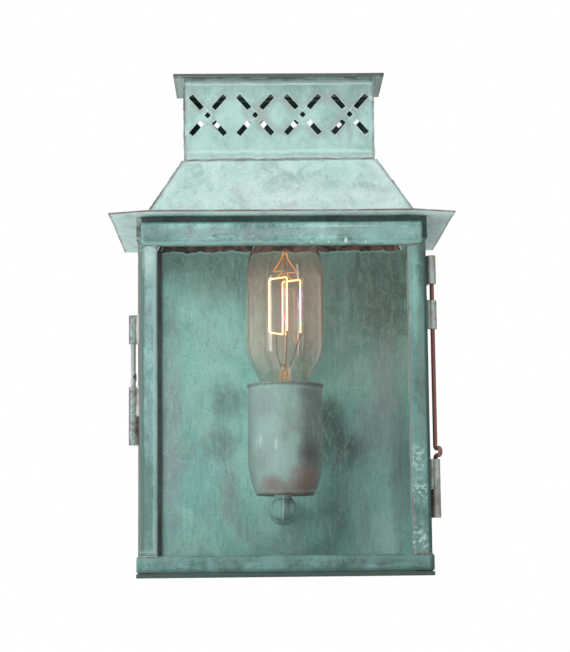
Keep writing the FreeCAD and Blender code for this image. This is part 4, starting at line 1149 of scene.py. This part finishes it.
class LANTERN_OT_bulb(bpy.types.Operator):
    """Tubular bulb with its stem, filament cage and wires"""

    bl_idname = "lantern.bulb"
    bl_label = "Make Bulb"

    def execute(self, context):
        cage = [corner.z for corner in box_mm("bulb_filament")]
        stem = [corner.z for corner in box_mm("bulb_stem")]
        # Painted glow: the bulb's glass glows faintly in the blush colour round the cage's height.
        glass = clear_glass("bulb_clear", "bulb_tint", 1.3, "blush", 0.02, cage)
        mesh = lathe("bulb_glass_blown", self.envelope(0.0) + self.envelope(BULB_WALL)[::-1], 128)
        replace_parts(placed("bulb_glass_blown", mesh, "lantern", glass), "bulb_glass")
        self.stem(*stem)
        legs = []
        for index in range(CAGE_LEGS):
            angle = math.radians(CAGE_TURN + 360 / CAGE_LEGS * index)
            spot = Vector((math.cos(angle), math.sin(angle), 0)) * CAGE_RADIUS
            legs.append(spot + Vector((0, LAMP_Y, 0)))
        tree = wire_tree()
        self.filament(legs, *cage, tree)
        self.supports(legs, *cage, *stem, tree)
        return {"FINISHED"}

    def envelope(self, inset):
        """The outline from the neck's end up to the pole, some way inside the bulb's outer face."""
        low, high = box_mm("bulb_glass")
        wall = (high.x - low.x) / 2 - inset
        neck = BULB_NECK - inset
        top = high.z - inset
        wall_top = top - BULB_DOME
        wall_low = wall_top - BULB_TUBE
        flare = wall_low - BULB_SHOULDER
        points = [(neck, low.z), (neck, flare)]
        points += curve([(neck, flare), (neck, flare + 22), (wall, wall_low - 22), (wall, wall_low)], 20)
        points += [(wall, wall_low + BULB_TUBE * (ring + 1) / BULB_RINGS) for ring in range(BULB_RINGS)]
        return points + curve([(wall, wall_top), (wall, wall_top + 29), (wall * 0.76, top), (0, top)], 24)

    def stem(self, foot, head):
        """The glass stem with its pressed foot, and the bead on its head."""
        # Painted glow: the stem's glass glows faintly in the glow colour.
        glass = clear_glass("stem_clear", "bulb_tint", 1.46, "glow", 0.04)
        outline = [(0, foot), (12.0, foot), (11.6, foot + 1.4), (8.2, foot + 6), (5.4, foot + 11)]
        outline += [(4.2, foot + 16), (4.0, foot + 24), (4.2, foot + 31), (4.0, foot + 35.5)]
        outline += [(2.6, foot + 37), (1.3, foot + 38), (1.2, foot + 60), (1.2, foot + 100)]
        outline += [(1.3, head - 5), (2.2, head - 3.8), (2.5, head - 2.5), (2.2, head - 1.2)]
        outline += [(1.3, head - 0.3), (0, head)]
        mesh = lathe("bulb_stem_drawn", outline, 40)
        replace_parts(placed("bulb_stem_drawn", mesh, "lantern", glass), "bulb_stem")
        bead = [(0, head - 1.0), (1.3, head - 0.7), (1.9, head + 0.2), (2.0, head + 0.8), (1.5, head + 1.8)]
        bead += [(0.7, head + 2.3), (0, head + 2.4)]
        finish = metal_finish("stem_bead", "rust", "blush", "copper", 0.3, 0.2, 2.0)
        placed("bulb_stem_bead", lathe("bulb_stem_bead", bead, 24), "lantern", finish)

    def filament(self, legs, low, high, tree):
        """The lit wire up and down the cage's legs, and the glow round it."""
        shapes = bpy.context.scene.lantern_shapes
        course = []
        for index, leg in enumerate(legs):
            ends = [leg + UP * (low + 0.4), leg + UP * (high - 0.4)]
            course += ends if index % 2 == 0 else ends[::-1]
        lit = Paint("filament_lit", "glow")
        lit.wash(tint(255, 240, 206), lit.ramp(lit.noise(60, 3.0, 2), 0.35, 0.65))
        flicker = lit.ramp(lit.noise(200, 1.0, 3), 0.3, 0.7, 2.0)
        shader = lit.principled(
            Base_Color=swatch("glow"),
            Emission_Color=lit.tone,
            Emission_Strength=lit.plus(flicker, 4.2),
        )
        values = {"Radius": shapes.filament, "Bend": 1.2 * MM, "Material": lit.surface(shader)}
        mesh = path_mesh("strand", [course], leaned)
        strand = grown("filament_strand", mesh, tree, values, "lantern")
        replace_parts(strand, "bulb_filament")
        halo = Paint("filament_halo", "ember")
        soft = halo.ramp(halo.noise(90, 5.0, 2), 0.3, 0.7, 0.12)
        shader = halo.principled(
            Roughness=0.9,
            Alpha=halo.plus(soft, 0.25),
            Emission_Color=halo.tone,
            Emission_Strength=2.0,
        )
        values = {"Radius": shapes.sleeve, "Bend": 1.6 * MM, "Material": halo.surface(shader)}
        grown("filament_halo", path_mesh("halo", [course], leaned), tree, values, "lantern")

    def supports(self, legs, low, high, foot, head, tree):
        """Hooks from the stem's head, wires up from its press, and the wire ends inside the press."""
        axis = Vector((0, LAMP_Y, 0))
        paths = []
        for outer, inner in ((legs[0], legs[1]), (legs[2], legs[3])):
            side = outer - axis
            across = inner - axis
            path = [axis + side * 0.05 + UP * (head - 2), axis + side * 0.35 + UP * (head - 9)]
            path += [axis + side * 0.8 + UP * (high + 5), axis + across * 0.5 + side * 0.1 + UP * (high + 6)]
            path.append((outer + inner) / 2 + UP * (high + 0.5))
            paths.append(path)
        press = foot + PRESS_RISE
        middle = (press + low - 0.5) / 2
        for spot in ((legs[1] + legs[2]) / 2, legs[0], legs[-1]):
            outward = (spot - axis).normalized()
            path = [axis + outward * 3.9 + UP * press, axis + outward * 7.5 + UP * (middle - 2.5)]
            paths.append(path + [spot + UP * (low - 0.5)])
        for side in (-1, 1):
            for reach in (1.2, 3.0):
                turns = [(side * reach, -2.6, foot + 24), (side * 1.4, -2.8, foot + 32), (0, -2.8, foot + 37)]
                paths.append([axis + Vector(turn) for turn in turns])
        warm = Paint("support_wire", "copper")
        patch = warm.noise((120, 120, 60), 2.0, 4)
        warm.wash("bare", warm.ramp(patch, 0.4, 0.65))
        height = warm.axis(Z)
        shader = warm.principled(
            Metallic=0.6,
            Roughness=warm.plus(warm.ramp(patch, 0.3, 0.7, 0.2), 0.3),
            # Painted glow: the wires glow near the top of the cage and at the press.
            Emission_Color=swatch("ember"),
            Emission_Strength=warm.plus(
                warm.ramp(height, 125, 175), warm.ramp(height, foot + 38, foot + 30, 0.3)
            ),
        )
        wire = bpy.context.scene.lantern_shapes.wire
        values = {"Radius": wire, "Bend": 1.5 * MM, "Material": warm.surface(shader)}
        mesh = path_mesh("supports", paths, leaned)
        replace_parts(grown("support_wires", mesh, tree, values, "lantern"), "bulb_supports")


class LANTERN_OT_stage(bpy.types.Operator):
    """Pale floor, white surround, soft lights and the camera"""

    bl_idname = "lantern.stage"
    bl_label = "Set Stage"

    def execute(self, context):
        studio = context.scene.lantern_studio
        self.floor()
        self.surround(studio.sky)
        self.soft_light("key", (-1.25, -1.35, 0.0), 0.34, 1.6, studio.key)
        self.soft_light("top", (-0.2, -0.75, 1.55), 1.2, 0.8, studio.top)
        self.soft_light("fill", (1.55, -1.15, 0.25), 0.14, 1.5, studio.fill)
        self.soft_light("bounce", (-0.55, -0.45, -0.3), 0.9, 0.8, studio.bounce, UP)
        self.camera(studio.lens)
        context.scene.view_settings.view_transform = "Standard"
        return {"FINISHED"}

    def floor(self):
        """A pale disc that fades to white for the camera away from the lantern."""
        mesh = bpy.data.meshes.new("floor")
        bm = bmesh.new()
        low = Matrix.Translation((0, 0, FLOOR_HEIGHT))
        bmesh.ops.create_circle(bm, cap_ends=True, segments=96, radius=FLOOR_RADIUS, matrix=low)
        bm.to_mesh(mesh)
        bm.free()
        floor = bpy.data.objects.new("floor", mesh)
        bpy.context.scene.collection.objects.link(floor)
        paint = Paint("floor_pale", (0.86, 0.86, 0.86))
        paint.wash((0.9, 0.9, 0.9), paint.noise(30, 1.0, 3))
        seen = paint.seen_rays()
        shine = paint.times(seen, 0.42)
        shader = paint.principled(Roughness=0.9, Emission_Color=paint.tone, Emission_Strength=shine)
        away = paint.put("ShaderNodeVectorMath", {0: paint.place}, operation="LENGTH")["Value"]
        fade = paint.times(seen, paint.ramp(away, *FLOOR_FADE))
        white = paint.put("ShaderNodeEmission", {"Color": WHITE, "Strength": 1.0})[0]
        mesh.materials.append(paint.surface(paint.mixed(fade, shader, white)))

    def surround(self, strength):
        """Even light of some strength, which the camera sees as white."""
        world = bpy.data.worlds.new("surround")
        bpy.context.scene.world = world
        world.use_nodes = True
        board = Board(world.node_tree)
        world.node_tree.nodes.clear()
        soft = board.put("ShaderNodeBackground", {"Color": WHITE, "Strength": strength})[0]
        white = board.put("ShaderNodeBackground", {"Color": WHITE, "Strength": 1.0})[0]
        board.put("ShaderNodeOutputWorld", {"Surface": board.mixed(board.seen_rays(), soft, white)})

    def soft_light(self, name, place, width, height, power, aim=None):
        """A soft light that shines along aim, or at the lantern where none is given."""
        light = bpy.data.lights.new(name, "AREA")
        light.shape = "RECTANGLE"
        light.size = width
        light.size_y = height
        light.energy = power
        lamp = bpy.data.objects.new(name, light)
        bpy.context.scene.collection.objects.link(lamp)
        lamp.location = place
        lamp.visible_camera = False
        aim = aim or LIGHT_AIM - Vector(place)
        lamp.rotation_euler = aim.to_track_quat("-Z", "Y").to_euler()

    def camera(self, lens):
        yaw, pitch, roll = (math.radians(angle) for angle in CAMERA_ANGLES)
        ahead = Vector((math.sin(yaw) * math.cos(pitch), math.cos(yaw) * math.cos(pitch), math.sin(pitch)))
        right = Vector((math.cos(yaw), -math.sin(yaw), 0))
        up = right.cross(ahead)
        across = right * math.cos(roll) - up * math.sin(roll)
        tall = up * math.cos(roll) + right * math.sin(roll)
        data = bpy.data.cameras.new("camera")
        data.sensor_width = 36.0
        data.lens = lens
        camera = bpy.data.objects.new("camera", data)
        bpy.context.scene.collection.objects.link(camera)
        turn = Matrix((across, tall, -ahead)).transposed().to_4x4()
        camera.matrix_world = Matrix.Translation(CAMERA_PLACE) @ turn
        bpy.context.scene.camera = camera


class LANTERN_PT_panel(bpy.types.Panel):
    """Lists the steps and the settings"""

    bl_idname = "LANTERN_PT_panel"
    bl_label = "Wall Lantern"
    bl_space_type = "VIEW_3D"
    bl_region_type = "UI"
    bl_category = "Lantern"

    def draw(self, context):
        for step in STEPS:
            self.layout.operator(step.bl_idname)
        for group in GROUPS:
            settings = getattr(context.scene, group)
            box = self.layout.box()
            for key in settings.__annotations__:
                box.prop(settings, key)


STEPS = (
    LANTERN_OT_stage,
    LANTERN_OT_dress_roof,
    LANTERN_OT_dress_body,
    LANTERN_OT_dress_door,
    LANTERN_OT_finish_fittings,
    LANTERN_OT_solder,
    LANTERN_OT_glaze,
    LANTERN_OT_lampholder,
    LANTERN_OT_bulb,
)
GROUPS = {
    "lantern_colours": LanternColours,
    "lantern_shapes": LanternShapes,
    "lantern_studio": LanternStudio,
}


def register():
    for group in GROUPS.values():
        bpy.utils.register_class(group)
    for step in STEPS:
        bpy.utils.register_class(step)
    bpy.utils.register_class(LANTERN_PT_panel)
    for key, group in GROUPS.items():
        setattr(bpy.types.Scene, key, PointerProperty(type=group))


def unregister():
    for key in GROUPS:
        delattr(bpy.types.Scene, key)
    bpy.utils.unregister_class(LANTERN_PT_panel)
    for step in reversed(STEPS):
        bpy.utils.unregister_class(step)
    for group in reversed(GROUPS.values()):
        bpy.utils.unregister_class(group)


def main():
    register()
    bpy.ops.lantern.stage()
    bpy.ops.lantern.dress_roof()
    bpy.ops.lantern.dress_body()
    bpy.ops.lantern.dress_door()
    bpy.ops.lantern.finish_fittings()
    bpy.ops.lantern.solder()
    bpy.ops.lantern.glaze()
    bpy.ops.lantern.lampholder()
    bpy.ops.lantern.bulb()


if __name__ == "__main__":
    main()
